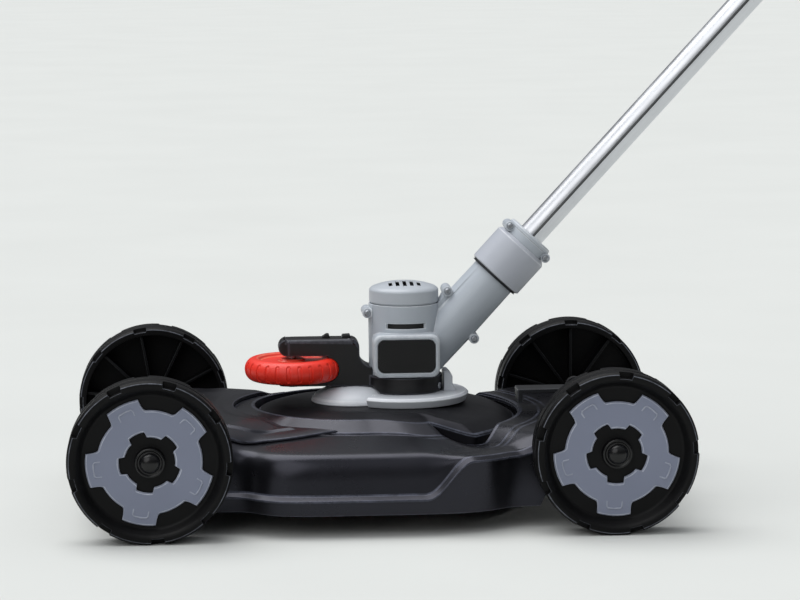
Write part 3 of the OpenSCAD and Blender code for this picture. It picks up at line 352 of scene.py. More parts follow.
# %% Round the edges of a solid
SHARP, WEAR_AND_HIGHLIGHT_UP_TO = 28, 3.5


def sharp_edges(bm, degrees):
    """Edges between two faces that meet at more than the angle."""
    return [e for e in bm.edges if len(e.link_faces) == 2 and e.calc_face_angle(0.0) > math.radians(degrees)]


def bevel(bm, edges, width, segments, wear_and_highlight):
    """Round the edges, and mark the new faces with wear_and_highlight where the radius is small, for paler wear and a
    painted highlight.
    """
    made = bmesh.ops.bevel(
        bm, geom=edges, offset=width * MM, segments=segments, profile=0.5, affect="EDGES", clamp_overlap=False
    )
    for face in made["faces"]:
        face[wear_and_highlight] = 1.0 if width < WEAR_AND_HIGHLIGHT_UP_TO else 0.0


def rounded(node, width, material, body, wide=(), reshape=None):
    """A copy of a solid with rounded edges. The wide ones are chosen by place and come first."""
    bm = bmesh.new()
    bm.from_mesh(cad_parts[node].data)
    bmesh.ops.remove_doubles(bm, verts=bm.verts, dist=2e-6)
    bmesh.ops.join_triangles(
        bm, faces=bm.faces, angle_face_threshold=math.radians(0.6), angle_shape_threshold=math.radians(170)
    )
    wear_and_highlight = bm.faces.layers.float.new("wear_and_highlight")
    if reshape:
        for v in bm.verts:
            v.co = Vector(reshape(*(v.co / MM))) * MM
    for chosen, radius, segments in wide:
        edges = [e for e in sharp_edges(bm, SHARP) if all(chosen(*(v.co / MM)) for v in e.verts)]
        bevel(bm, edges, radius, segments, wear_and_highlight)
    if width > 0:
        bevel(bm, sharp_edges(bm, SHARP + 4), width, 2, wear_and_highlight)
    return finish_mesh(node + "_rounded", bm, material, body, [node])


def rounded_all(rows, body):
    """Rounded copies of several solids that move with one body."""
    for node, width, material, slot in rows:
        piece = rounded(node, width, material, body)
        print(piece.name, len(piece.data.polygons), "faces")


# Under this radius the edges are painted paler, for wear and as a painted highlight.
print("edges are rubbed on radii under", WEAR_AND_HIGHLIGHT_UP_TO, "mm")

# %% [markdown]
# ## Turned and swept pieces
# A wheel, a collar and even this deck are rings: one closed wall section for each angle about an axis. Each corner of a
# section is given as its distance from the axis, its height along the axis and its radius, in millimetres. A helper
# turns the corners into short curves, and a second one sweeps the sections round. Where the section depends on the
# angle, notches and arms come out of the same sweep.

# %% Helpers that sweep a ring
def step(a, b, x):
    """Soft step from 0 at a to 1 at b."""
    t = max(0.0, min(1.0, (x - a) / (b - a)))
    return t * t * (3 - 2 * t)


def mix(a, b, t):
    return a + (b - a) * t


def placed(x, y, z, turn=Matrix()):
    """Matrix that puts a piece drawn in millimetres on its axis, in metres."""
    return Matrix.Scale(MM, 4) @ Matrix.Translation((x, y, z)) @ turn


def round_corners(section, pieces=3):
    """Points of a closed section, each with the radius of the corner that it belongs to."""
    points = []
    count = len(section)
    for i, (x, z, radius) in enumerate(section):
        here = Vector((x, z))
        back = Vector(section[i - 1][:2]) - here
        ahead = Vector(section[(i + 1) % count][:2]) - here
        first = here + back.normalized() * min(radius, back.length * 0.45)
        last = here + ahead.normalized() * min(radius, ahead.length * 0.45)
        for k in range(pieces + 1):
            t = k / pieces
            points.append((first.lerp(here, t).lerp(here.lerp(last, t), t), radius if k < pieces else 99.0))
    return points


def swept_ring(section_at, angles, where, pieces=3, small=1.6):
    """Quads between one closed section per angle. The curves of corners smaller than the limit are marked
    wear_and_highlight, which the finish paints paler as wear and a painted highlight.
    """
    bm = bmesh.new()
    wear_and_highlight = bm.faces.layers.float.new("wear_and_highlight")
    rings = []
    for angle in angles:
        a = math.radians(angle)
        points = round_corners(section_at(angle), pieces)
        rings.append([bm.verts.new(where @ Vector((p.x * math.cos(a), p.x * math.sin(a), p.y))) for p, r in points])
    radii = [r for p, r in points]
    for i, ring in enumerate(rings):
        after = rings[(i + 1) % len(rings)]
        for j in range(len(ring)):
            k = (j + 1) % len(ring)
            face = bm.faces.new((ring[j], after[j], after[k], ring[k]))
            face[wear_and_highlight] = 1.0 if radii[j] < small else 0.0
    bmesh.ops.remove_doubles(bm, verts=bm.verts, dist=1e-7)
    bmesh.ops.dissolve_degenerate(bm, edges=bm.edges, dist=1e-7)
    bmesh.ops.recalc_face_normals(bm, faces=bm.faces)
    return bm


print("points in a rounded square:", len(round_corners([(0, 0, 1), (4, 0, 1), (4, 4, 1), (0, 4, 1)])))

# %% Patterns round a ring
def even(count):
    """Even angles round a ring."""
    return [i * 360 / count for i in range(count)]


def ring_share(angle, count, first, half, draft):
    """1 inside one of the arms or notches round a ring, 0 outside, with a slope as wide as the draft."""
    away = abs((angle - first + 180 / count) % (360 / count) - 180 / count)
    return max(0.0, min(1.0, (half + draft - away) / draft))


def ring_angles(patterns, fill):
    """Angles that meet every edge of the patterns, with even steps between them."""
    angles = set(round(a, 4) for a in even(fill))
    for count, first, half, draft in patterns:
        for i in range(count):
            for edge in (-half - draft, -half - draft / 2, -half, half, half + draft / 2, half + draft):
                angles.add(round((first + i * 360 / count + edge) % 360, 4))
    return sorted(angles)


print("steps for five arms:", len(ring_angles([(5, 0, 16.6, 1.4)], 180)))

# %% [markdown]
# ## Copies with Geometry Nodes
# Ribs, bows and screws repeat, so each is drawn once and copied by a node tree. The first tree turns copies round an
# axis, the second sets them in a row, and the third puts a screw on each point of a small mesh and turns it along
# that point's aim. Each tree ends with real geometry and a material, and the result is kept as a plain mesh.

# %% Start and end of a tree
def new_tree(name, sockets):
    """A Geometry Nodes tree with named inputs, and the outputs that carry them."""
    tree = bpy.data.node_groups.new(name, "GeometryNodeTree")
    for label, kind in sockets:
        tree.interface.new_socket(label, in_out="INPUT", socket_type=kind)
    tree.interface.new_socket("Geometry", in_out="OUTPUT", socket_type="NodeSocketGeometry")
    return tree, put(tree, "NodeGroupInput").outputs


def close_tree(tree, copies, finish):
    """End a tree with real geometry and a material."""
    real = put(tree, "GeometryNodeRealizeInstances", {0: copies.outputs[0]})
    made = put(tree, "GeometryNodeSetMaterial", {"Geometry": real.outputs[0], "Material": finish})
    put(tree, "NodeGroupOutput", {0: made.outputs[0]})


# %% Tree for copies round an axis
ring_tree, given = new_tree(
    "copies_in_ring",
    [("Geometry", "NodeSocketGeometry"), ("Copies", "NodeSocketInt"), ("Finish", "NodeSocketMaterial")],
)
spots = put(ring_tree, "GeometryNodeMeshLine", {"Count": given["Copies"], "Offset": (0, 0, 0)})
number = put(ring_tree, "GeometryNodeInputIndex").outputs[0]
share = put(ring_tree, "ShaderNodeMath", {0: number, 1: given["Copies"]}, operation="DIVIDE").outputs[0]
turn = put(ring_tree, "ShaderNodeMath", {0: share, 1: math.tau}, operation="MULTIPLY").outputs[0]
about = put(ring_tree, "ShaderNodeCombineXYZ", {"Z": turn}).outputs[0]
copies = put(
    ring_tree,
    "GeometryNodeInstanceOnPoints",
    {"Points": spots.outputs[0], "Instance": given["Geometry"], "Rotation": about},
)
close_tree(ring_tree, copies, given["Finish"])
print(ring_tree.name, len(ring_tree.nodes), "nodes")

# %% Tree for copies in a row
row_tree, given = new_tree(
    "copies_in_row",
    [
        ("Geometry", "NodeSocketGeometry"),
        ("Copies", "NodeSocketInt"),
        ("Step", "NodeSocketVector"),
        ("Finish", "NodeSocketMaterial"),
    ],
)
spots = put(row_tree, "GeometryNodeMeshLine", {"Count": given["Copies"], "Offset": given["Step"]})
copies = put(
    row_tree, "GeometryNodeInstanceOnPoints", {"Points": spots.outputs[0], "Instance": given["Geometry"]}
)
close_tree(row_tree, copies, given["Finish"])
print(row_tree.name, len(row_tree.nodes), "nodes")

# %% Tree for screws on points
screw_tree, given = new_tree(
    "screws_on_points",
    [("Geometry", "NodeSocketGeometry"), ("Screw", "NodeSocketObject"), ("Finish", "NodeSocketMaterial")],
)
pattern = put(screw_tree, "GeometryNodeObjectInfo", {"Object": given["Screw"]}).outputs["Geometry"]
aim = put(screw_tree, "GeometryNodeInputNamedAttribute", {"Name": "aim"}, data_type="FLOAT_VECTOR").outputs[0]
facing = put(screw_tree, "FunctionNodeAlignRotationToVector", {"Vector": aim}, axis="Z").outputs[0]
copies = put(
    screw_tree,
    "GeometryNodeInstanceOnPoints",
    {"Points": given["Geometry"], "Instance": pattern, "Rotation": facing},
)
close_tree(screw_tree, copies, given["Finish"])
print(screw_tree.name, len(screw_tree.nodes), "nodes")

# %% Run a tree and keep a plain mesh
def grown(name, mesh, tree, values, where, body, nodes):
    """Run a tree on a mesh and keep the result as a plain mesh. Inputs are set by identifier."""
    maker = bpy.data.objects.new(name + "_maker", mesh)
    bpy.context.scene.collection.objects.link(maker)
    grow = maker.modifiers.new("copies", "NODES")
    grow.node_group = tree
    for socket in tree.interface.items_tree:
        if socket.in_out == "INPUT" and socket.name in values:
            grow[socket.identifier] = values[socket.name]
    seen = maker.evaluated_get(bpy.context.evaluated_depsgraph_get())
    plain = bpy.data.meshes.new_from_object(seen)
    bpy.data.objects.remove(maker)
    plain.transform(where)
    plain.name = name
    piece = bpy.data.objects.new(name, plain)
    bpy.context.scene.collection.objects.link(piece)
    print(name, len(plain.polygons), "faces")
    return hang(piece, body, nodes)


# %% [markdown]
# ## Blocks and cuts
# Small mouldings are blocks: a plain one that is placed by its corners, a bar with draft for the ribs, and a prism with
# an outline. Openings are blocks too, taken away with a Boolean modifier that is applied at once.

# %% Helpers for blocks
def add_block(bm, low, high):
    """A block from corner to corner."""
    corners = bmesh.ops.create_cube(bm, size=1.0)["verts"]
    for v in corners:
        v.co = Vector(mix(low[i], high[i], v.co[i] + 0.5) for i in range(3))
    return corners


def bar(low, high, draft=0.0, edge=0.3, rubbed_and_lit=1.0):
    """A block from corner to corner in millimetres that narrows by the draft towards its top, with soft edges."""
    bm = bmesh.new()
    wear_and_highlight = bm.faces.layers.float.new("wear_and_highlight")
    middle = (Vector(low) + Vector(high)) / 2
    for v in add_block(bm, low, high):
        if v.co.z > middle.z:
            v.co.x += draft if v.co.x < middle.x else -draft
            v.co.y += draft if v.co.y < middle.y else -draft
    made = bmesh.ops.bevel(bm, geom=bm.edges[:], offset=edge, segments=2, profile=0.5, affect="EDGES")
    for face in made["faces"]:
        face[wear_and_highlight] = rubbed_and_lit
    return bm


def prism(outline, low, high, edge=0.4):
    """A block with an outline in X and Z, drawn out along Y. Its sizes are in millimetres and it comes in metres."""
    bm = bmesh.new()
    bm.faces.layers.float.new("wear_and_highlight")
    ends = []
    for at in (low, high):
        ends.append([bm.verts.new(Vector((x, at, z)) * MM) for x, z in outline])
    bm.faces.new(ends[0])
    bm.faces.new(ends[1][::-1])
    for i in range(len(outline)):
        k = (i + 1) % len(outline)
        bm.faces.new((ends[0][k], ends[0][i], ends[1][i], ends[1][k]))
    bmesh.ops.recalc_face_normals(bm, faces=bm.faces)
    bmesh.ops.bevel(bm, geom=sharp_edges(bm, SHARP), offset=edge * MM, segments=2, profile=0.5, affect="EDGES")
    return bm


sample = bar((0, 0, 0), (1, 1, 1))
print("edges of a bar:", len(sample.edges))
sample.free()

# %% Helper for cuts
CUT_ANGLE = 50


def cut(bm, blocks, edge):
    """Take blocks away from a mesh and soften the new edges."""
    body, tool = (bpy.data.objects.new("cut_" + str(i), bpy.data.meshes.new("cut")) for i in range(2))
    bm.to_mesh(body.data)
    blocks.to_mesh(tool.data)
    for temporary in (body, tool):
        bpy.context.scene.collection.objects.link(temporary)
    away = body.modifiers.new("away", "BOOLEAN")
    away.object = tool
    plain = bpy.data.meshes.new_from_object(body.evaluated_get(bpy.context.evaluated_depsgraph_get()))
    bpy.data.objects.remove(body)
    bpy.data.objects.remove(tool)
    bm.clear()
    bm.from_mesh(plain)
    wear_and_highlight = bm.faces.layers.float.get("wear_and_highlight") or bm.faces.layers.float.new("wear_and_highlight")
    made = bmesh.ops.bevel(
        bm, geom=sharp_edges(bm, CUT_ANGLE), offset=edge * MM, segments=2, profile=0.5, affect="EDGES"
    )
    for face in made["faces"]:
        face[wear_and_highlight] = 1.0
    return bm


print("cut edges over", CUT_ANGLE, "degrees are softened")

# %% [markdown]
# ## Deck shell
# The deck is one thin moulding: a ring that the trimmer's guard drops into, a pale chamfer round that ring, a moat, a
# top that rolls over two rounded pods between the wheels, and a lip that runs round the pods and climbs in an S to
# the shoulder beside the rear wheel. Its shape is a rule, one wall section for each angle about the spindle, so it is
# swept from that section in fine steps, and each corner of the section gets its own small radius. In the rules below, q
# is the angle in degrees, 0 at the rear and 180 at the front. Names that end in _r give a radius and those in _z a
# height, in millimetres.

# %% Values and outlines of the deck
HEAD_X, RIM_Z, FLANGE_Z, GUARD_TOP, DECK_LOW, WALL = -19.5, 102.0, 93.0, 104.7, 21.0, 3.0
HALF_W, BULGE_W, FRONT, REAR = 154.0, 186.0, 286.0, 262.0
FRONT_X, REAR_X, WHEEL_R, AXLE_Z = -226.0, 226.0, 80.0, 80.0
MOTOR_X, TRACK = 33.0, 366.0
NOTCH_Z = AXLE_Z + 7.6


def round_box(q, a, b, n):
    """Radius of a box with rounded corners and the half lengths a and b."""
    c, s = abs(math.cos(math.radians(q))) / a, abs(math.sin(math.radians(q))) / b
    return (c**n + s**n) ** (-1 / n)


def bump(q, middle, width):
    """1 near the middle angle, 0 beyond the width."""
    return 1 - step(width * 0.55, width, abs(q - middle))


def flare(q):
    """1 behind the head, where the guard is wide."""
    return step(54, 46, q)


def guard_r(q):
    return mix(98 + 23 * step(86, 54, q), 166, flare(q))


def dock_r(q):
    return guard_r(q) + 3


def dock_z(q):
    return RIM_Z - 4 * step(80, 56, q) - 20 * step(57, 49, q) + 17 * step(44, 34, q)


def deck_r(q):
    body = round_box(q, REAR - HEAD_X if q < 90 else FRONT + HEAD_X, HALF_W, 9)
    bulge = round_box(q, REAR_X - WHEEL_R - 8 - HEAD_X if q < 90 else -FRONT_X - WHEEL_R - 6 + HEAD_X, BULGE_W, 5)
    return (body**24 + bulge**24) ** (1 / 24)


print("deck:", FRONT + REAR, "mm long, widest section", round(max(deck_r(q) for q in range(181)), 1), "mm")

# %% Heights of the deck
def wheel_zone(q):
    """1 beside the wheels."""
    return 1 - step(37, 46, q) + step(128, 140, q)


def pod(q):
    """1 along the rounded side between the wheels."""
    return step(60, 72, q) * (1 - step(131, 139, q))


def notch(q):
    """1 above the axles, where the lower edge is cut out."""
    near_axles = [math.degrees(math.atan2(HALF_W, x - HEAD_X)) for x in (REAR_X, FRONT_X)]
    return max(bump(q, at, 9) for at in near_axles)


def shoulder_z(q):
    return mix(RIM_Z - 24, max(NOTCH_Z + 4.6, RIM_Z - 9), wheel_zone(q))


def low_z(q):
    return mix(DECK_LOW + 16 * step(152, 166, q) + 20 * step(24, 12, q), NOTCH_Z, notch(q))


def lip_z(q):
    return max(mix(shoulder_z(q) - 3, DECK_LOW + 18, pod(q)), low_z(q) + 2.6)


def top_in(q):
    """Radius at which the top starts, beside the dock."""
    return dock_r(q) + 2.5


def top_out(q):
    """Radius at which the top turns down."""
    return deck_r(q) - 22


def top_mid(q):
    """Radius of the moat."""
    return min(dock_r(q) + 21, top_out(q) - 4)


def crown_z(q):
    return shoulder_z(q) + 0.5 + 4 * pod(q)


def mid_z(q):
    return mix(crown_z(q), dock_z(q), 0.48)


def deck_top(r, q):
    """Height of the top, for the pieces that lie on it."""
    if r < top_mid(q):
        return mix(dock_z(q), mid_z(q), max(0.0, (r - top_in(q)) / (top_mid(q) - top_in(q))))
    return mix(mid_z(q), crown_z(q), (r - top_mid(q)) / (top_out(q) - top_mid(q)))


def half_turn(angle):
    """Both sides are alike, so an angle past 180 degrees is folded back."""
    return 360 - angle if angle > 180 else angle


print("crown beside the dock:", round(crown_z(90), 1), "mm, lip:", round(lip_z(90), 1), "mm")

# %% Section of the deck and its sweep
def deck_section(angle):
    q = half_turn(angle)
    dock, side, inner, mid, outer = dock_r(q), deck_r(q), top_in(q), top_mid(q), top_out(q)
    rim, middle, crown, shoulder, lip, low = dock_z(q), mid_z(q), crown_z(q), shoulder_z(q), lip_z(q), low_z(q)
    ledge, ledge_w = min(FLANGE_Z - 0.3, rim - 2), mix(0.6, 7, step(60, 76, q))
    moat = pod(q) * step(15, 24, outer - mid)

    def slope(away):
        return mix(middle, crown, away / max(12, outer - mid))

    return [
        (dock - ledge_w, ledge - WALL, 0.5), (dock - ledge_w, ledge, 0.6), (dock, ledge, 0.5), (dock, rim, 1.0),
        (inner, rim, 1.4), (mid, middle, 1.2), (mid + 1.0, slope(1.0) - 1.9 * moat, 0.5),
        (mid + 7, slope(7) - 1.9 * moat, 0.5), (mid + 8.2, slope(8.2) + 0.5 * moat, 1.0),
        (outer, crown, 20.0), (side - 9, mix(shoulder, crown, 0.25), 20.0),
        (side - 2.5, mix(lip, shoulder, 0.7), 20.0), (side - 0.3, lip + 2.2, 1.4),
        (side + 5.6, lip - 1.8, 0.8), (side + 5.6, lip - 3.6, 0.8),
        (side + 1, lip - 4.0, 0.5), (side - 2.0, low, 0.8), (side - 2.0 - WALL, low, 0.8),
        (side - 2 - WALL, mix(lip, shoulder, 0.68) - WALL * 0.8, 6.0),
        (side - 10, mix(shoulder, crown, 0.2) - WALL, 6.0),
        (outer - 1, crown - WALL, 6.0), (mid, middle - WALL, 2.0),
        (dock + WALL, min(rim, middle + 4) - WALL - 1, 0.8), (dock + WALL, ledge - WALL, 0.5),
    ]


deck = finish_mesh(
    "deck_shell_moulding", swept_ring(deck_section, even(360), placed(HEAD_X, 0, 0), 6), deck_plastic,
    "deck", ["deck_shell"], 60,
)
print(deck.name, len(deck.data.polygons), "faces")

# %% [markdown]
# ## Front cover
# A separate plate lies on the front of the deck. It tapers to a point on each side of the dock and has a raised panel
# in the middle. It follows the deck's top, so it is laid out as a grid of points over the same rule and given a wall
# and a rounded edge.

# %% Cover plate
COVER_COLS, COVER_ROWS = 160, 40


def cover_point(i, j, up):
    """A point of the lower or the upper side of the plate, by its column and row."""
    t, u = j / COVER_ROWS, i / COVER_COLS * 2 - 1
    angle = 180 + u * mix(80, 49, t**0.8)
    q = half_turn(angle)
    r = mix(top_mid(q) + 1, top_out(q) - 2, t)
    ends = (max(0.0, abs(u) - 0.86) / 0.14) ** 2
    panel = 1.7 * (1 - step(0.80, 0.82, abs(u))) * step(0.10, 0.14, t) * (1 - step(0.58, 0.62, t))
    z = deck_top(r, q) + 0.7 + up * (4 - 1.6 * ends + panel)
    a = math.radians(angle)
    return Vector((HEAD_X + r * math.cos(a), r * math.sin(a), z)) * MM


bm = bmesh.new()
wear_and_highlight = bm.faces.layers.float.new("wear_and_highlight")
grids = [
    [[bm.verts.new(cover_point(i, j, up)) for i in range(COVER_COLS + 1)] for j in range(COVER_ROWS + 1)]
    for up in (0, 1)
]
for level in grids:
    for j in range(COVER_ROWS):
        for i in range(COVER_COLS):
            bm.faces.new((level[j][i], level[j][i + 1], level[j + 1][i + 1], level[j + 1][i]))
rim = [(0, i) for i in range(COVER_COLS)] + [(j, COVER_COLS) for j in range(COVER_ROWS)]
rim += [(COVER_ROWS, i) for i in range(COVER_COLS, 0, -1)] + [(j, 0) for j in range(COVER_ROWS, 0, -1)]
for (j, i), (n, m) in zip(rim, rim[1:] + rim[:1]):
    bm.faces.new((grids[0][j][i], grids[0][n][m], grids[1][n][m], grids[1][j][i]))
bmesh.ops.recalc_face_normals(bm, faces=bm.faces)
bevel(bm, sharp_edges(bm, 50), 0.9, 3, wear_and_highlight)
cover = finish_mesh("front_cover_plate", bm, cover_plastic, "deck", ["front_cover"], 45)
print(cover.name, len(cover.data.polygons), "faces")

# %% [markdown]
# ## Wheels
# Each wheel is a black moulding: a broad tread with nine notches on each edge, a dish on the outer face and ten ribs
# on the inner one. A grey cap with five arms lies in the dish, and a domed cap closes the axle. Tread and hubcap are
# swept with notches and arms in the section. The ribs, and the small bow on each arm, are copies round the axle.

# %% Sections of the wheel, the hubcap and the axle cap
# Each pattern is a count, the angle of the first, its half width and its draft, in degrees.
NOTCH_OUT, NOTCH_BACK = (9, 0, 4.6, 0.5), (9, 20, 4.6, 0.5)
ARM, LOBE = (5, 0, 15.4, 6.4), (5, 0, 14.6, 6.0)


def wheel_section(angle):
    out, back = ring_share(angle, *NOTCH_OUT), ring_share(angle, *NOTCH_BACK)
    return [
        (5.06, -19, 0.4), (11, -19, 0.8), (11, 6, 1.0), (72, 6, 2.0), (72, -20, 0.8),
        (mix(78, 76, back), -20, 0.5), (mix(80, 76, back), mix(-17, -11, back), 0.8), (80, mix(-16, -10.9, back), 0.7),
        (80, -3, 0.7), (78.5, -2, 0.7), (78.5, 2, 0.7), (80, 3, 0.7),
        (80, mix(16, 10.9, out), 0.7), (mix(80, 74, out), mix(17, 11, out), 0.7), (mix(77.8, 74, out), 20, 0.5),
        (mix(74, 73.4, out), 20, 1.4), (71, 18.4, 2.0), (65.6, 10, 2.2), (15, 10, 1.2), (14, 16, 1.0), (5.06, 16, 0.6),
    ]


def hubcap_section(angle):
    arm = ring_share(angle, *ARM) ** 2.4
    lobe = step(0, 1, ring_share(angle, *LOBE))
    inner, outer = mix(24.4, 29.8, lobe), mix(50.8, 62, arm)
    return [
        (inner, 10.1, 0.2), (inner, 12.4, 0.5), (inner + 1.3, 13.4, 0.5), (outer - 1.3, 13.4, 0.5), (outer, 12.3, 0.5),
        (outer, 10.1, 0.2),
    ]


def axle_cap_section(angle):
    return [
        (5.05, 16.5, 0.2), (14.4, 16.5, 0.3), (14.4, 17.6, 0.5), (13.0, 18.2, 0.6), (11.2, 17.1, 0.6),
        (10.0, 17.3, 0.4), (9.5, 19.2, 0.8), (8.0, 21.4, 2.0), (5.0, 23.1, 2.2), (2.2, 23.8, 1.6),
        (0, 23.95, 0.0), (0, 20.4, 0.0), (5.05, 20.4, 0.2),
    ]


wheel_angles = ring_angles([NOTCH_OUT, NOTCH_BACK], 180)
hubcap_angles = ring_angles([ARM, (*ARM[:3], 3.2), (*ARM[:3], 1.2), LOBE], 360)
print("sections per wheel:", len(wheel_angles), "per hubcap:", len(hubcap_angles))

# %% Bow on the arm of a hubcap and rib of a wheel
def bow():
    """Raised bow, open towards the axle, as one bent strip."""
    bm = bmesh.new()
    wear_and_highlight = bm.faces.layers.float.new("wear_and_highlight")
    path = [(-15, -7.4), (-9.8, -7.4), (-8, -6), (-7.6, 0), (-8, 6), (-9.8, 7.4), (-15, 7.4)]
    rows = []
    for i, (x, y) in enumerate(path):
        before, after = Vector(path[max(i - 1, 0)]), Vector(path[min(i + 1, len(path) - 1)])
        side = (after - before).normalized()
        out = Vector((side.y, -side.x))
        height = 0.85 if 0 < i < len(path) - 1 else 0.1
        rows.append([
            bm.verts.new((62 + x + out.x * w, y + out.y * w, z + 0.2))
            for w, z in ((-1.0, 12.9), (-0.45, 13.2 + height), (0.45, 13.2 + height), (1.0, 12.9))
        ])
    for a, b in zip(rows, rows[1:]):
        for j in range(4):
            bm.faces.new((a[j], a[(j + 1) % 4], b[(j + 1) % 4], b[j]))
    bm.faces.new(rows[0])
    bm.faces.new(rows[-1][::-1])
    for face in bm.faces:
        face[wear_and_highlight] = 0.6
    bmesh.ops.recalc_face_normals(bm, faces=bm.faces)
    return drawn(bm, 70)


rib_ends = (10.5, -1.3, -15), (72.6, 1.3, 6.6)
print("rib:", rib_ends[1][0] - rib_ends[0][0], "mm long")

# %% Four wheels
# Angles in degrees at which the treads and the caps stand at rest.
TREAD_TURN = {"front_left": 75, "rear_left": 84, "front_right": 80, "rear_right": 90}
CAP_TURN = {"front_left": -101, "rear_left": -93, "front_right": 80, "rear_right": 90}

for end, x in (("front", FRONT_X), ("rear", REAR_X)):
    for side, s in (("left", -1), ("right", 1)):
        body = f"{end}_{side}_wheel"
        stand = Matrix.Rotation(math.radians(-90 * s), 4, "X")
        tread_at, cap_at = (
            placed(x, s * TRACK / 2, AXLE_Z, stand @ Matrix.Rotation(math.radians(turn[f"{end}_{side}"]), 4, "Z"))
            for turn in (TREAD_TURN, CAP_TURN)
        )
        finish_mesh(
            f"wheel_{end}_{side}_tread", swept_ring(wheel_section, wheel_angles, tread_at, 2, 0.55), tyre_plastic,
            body, [f"wheel_{end}_{side}"], 40,
        )
        finish_mesh(
            f"hubcap_{end}_{side}_plate", swept_ring(hubcap_section, hubcap_angles, cap_at, 2), hubcap_plastic,
            body, [f"hubcap_{end}_{side}"], 40,
        )
        grown(
            f"wheel_{end}_{side}_ribs", drawn(bar(*rib_ends, 0.0, 0.4, 0.15)), ring_tree,
            {"Copies": 10, "Finish": tyre_plastic}, tread_at, body, [],
        )
        grown(
            f"hubcap_{end}_{side}_bows", bow(), ring_tree, {"Copies": 5, "Finish": hubcap_plastic}, cap_at, body, [],
        )
        name = f"axle_cap_{end}_{side}"
        cap = finish_mesh(
            name, swept_ring(axle_cap_section, even(64), cap_at, 3, 0.0), glossy_plastic, "deck",
            ["axle_caps"] if name == "axle_cap_front_left" else [], 40,
        )
print("wheels done, last cap:", cap.name)

# %% [markdown]
# ## Rest of the deck
# The axle beams, the pedal and its bracket are plain mouldings, and the axles and the pin are turned bar, so they are
# rounded copies of their solids. The spring under the pedal is a copy of its solid with sharp edges.

# %% Deck fittings
rounded_all(
    [
        ("front_axle", 0.6, axle_steel, "steel"),
        ("rear_axle", 0.6, axle_steel, "steel"),
        ("front_axle_beam", 0.8, trim_plastic, "trim_black"),
        ("rear_axle_beam", 0.8, trim_plastic, "trim_black"),
        ("pedal_bracket", 0.8, trim_plastic, "trim_black"),
        ("pedal_pin", 0.5, axle_steel, "steel"),
    ],
    "deck",
)
rounded_all([("release_pedal", 1.0, pedal_plastic, "pedal_grey")], "pedal")
spring = rounded("pedal_spring", 0.0, spring_steel, "deck")
low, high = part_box("pedal_spring")
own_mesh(spring)
print(spring.name, "is pressed to six tenths of its length by the pedal")

# %% [markdown]
# ## Screws
# The machine is held together by small pan-head screws with a six-lobed socket. One screw is swept for each size, the
# socket comes from the angle in its section, and a node tree sets a copy on every place where the solids have one.

# %% Screw pattern and its places
SOCKET_LOBES = 6


def screw(head_r, head_h, shank_r, length):
    """Pan-head screw along Z, with the seat of its head at zero."""

    def section(angle):
        socket = head_r * (0.42 + 0.06 * math.cos(math.radians(SOCKET_LOBES * angle)))
        return [
            (0, head_h * 0.35, 0.0), (socket, head_h * 0.35, 0.0), (socket, head_h, 0.15),
            (head_r * 0.72, head_h, 0.5), (head_r, head_h * 0.5, 0.6), (head_r, 0, 0.15),
            (shank_r, 0, 0.0), (shank_r, -length, 0.2), (0, -length, 0.0),
        ]

    return drawn(swept_ring(section, even(48), Matrix(), 2), 40)


def set_screws(name, sizes, points, where, finish, body, nodes):
    """A screw of the given sizes on each point, with its head towards that point's aim."""
    pattern = bpy.data.objects.new(name + "_pattern", screw(*sizes))
    spots = bpy.data.meshes.new(name + "_spots")
    spots.from_pydata([p for p, aim in points], [], [])
    aims = spots.attributes.new("aim", "FLOAT_VECTOR", "POINT")
    for i, (p, aim) in enumerate(points):
        aims.data[i].vector = aim
    bpy.context.scene.collection.objects.link(pattern)
    piece = grown(name, spots, screw_tree, {"Screw": pattern, "Finish": finish}, where, body, nodes)
    bpy.data.objects.remove(pattern)
    return piece


print("lobes in each socket:", SOCKET_LOBES)

# %% Screws of the machine
NECK_Z, HOUSING_TOP, HOUSING_LOW = 130.3, 205.5, 132.3
HANDLE_S, LOOP_LOW, CLAMP_EAR = 800.0, 64.0, 24.5
LEFTWARDS, UP, DOWN = (0, -1, 0), (0, 0, 1), (0, 0, -1)
at_home = placed(0, 0, 0)
tube_frame = placed(MOTOR_X, 0, NECK_Z, Matrix.Rotation(TUBE_TURN, 4, "Y"))
bosses = [(-5.0, HOUSING_TOP - 9), (77.0, HOUSING_TOP + 12), (104.0, HOUSING_LOW + 36)]
handle_spots = [(-16, 12), (16, 12), (4, 178), (LOOP_LOW - 9, 86), (LOOP_LOW - 9, 252), (-14, 252)]
beam_spots = [(x + 8.6, y + k, 67.7) for x in (FRONT_X, REAR_X) for y in (-118, 118) for k in (-7.5, 7.5)]
pedal_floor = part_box("pedal_bracket")[0][2] / MM + 3.6
set_screws(
    "housing_screw_set", (3.3, 1.8, 1.7, 26), [((x, -15.1, z), LEFTWARDS) for x, z in bosses],
    at_home, dark_screw, "trimmer", ["housing_screws"],
)
set_screws(
    "clamp_screw_set", (3.3, 1.8, 1.9, 28), [((x, -15.1, 185.8), LEFTWARDS) for x in (-CLAMP_EAR, CLAMP_EAR)],
    tube_frame, dark_screw, "shaft", ["clamp_screws"],
)
set_screws(
    "handle_screw_set", (3.2, 1.6, 1.6, 30), [((x, -18.1, HANDLE_S + along), LEFTWARDS) for x, along in handle_spots],
    tube_frame, dark_screw, "handle", ["handle_screws"],
)
set_screws(
    "beam_screw_set", (3.9, 2.3, 2.0, 24), [(spot, DOWN) for spot in beam_spots],
    at_home, screw_steel, "deck", ["deck_screws"],
)
set_screws(
    "pedal_screw_set", (3.9, 1.6, 2.0, 5.4), [((212, y, pedal_floor + 0.1), UP) for y in (-12, 12)],
    at_home, screw_steel, "deck", [],
)

# %% [markdown]
# ## Guard
# The guard is a thin black shell round the string head: a collar that drops into the dock and a deep skirt behind it.
# Like the deck it is swept from one section per angle.

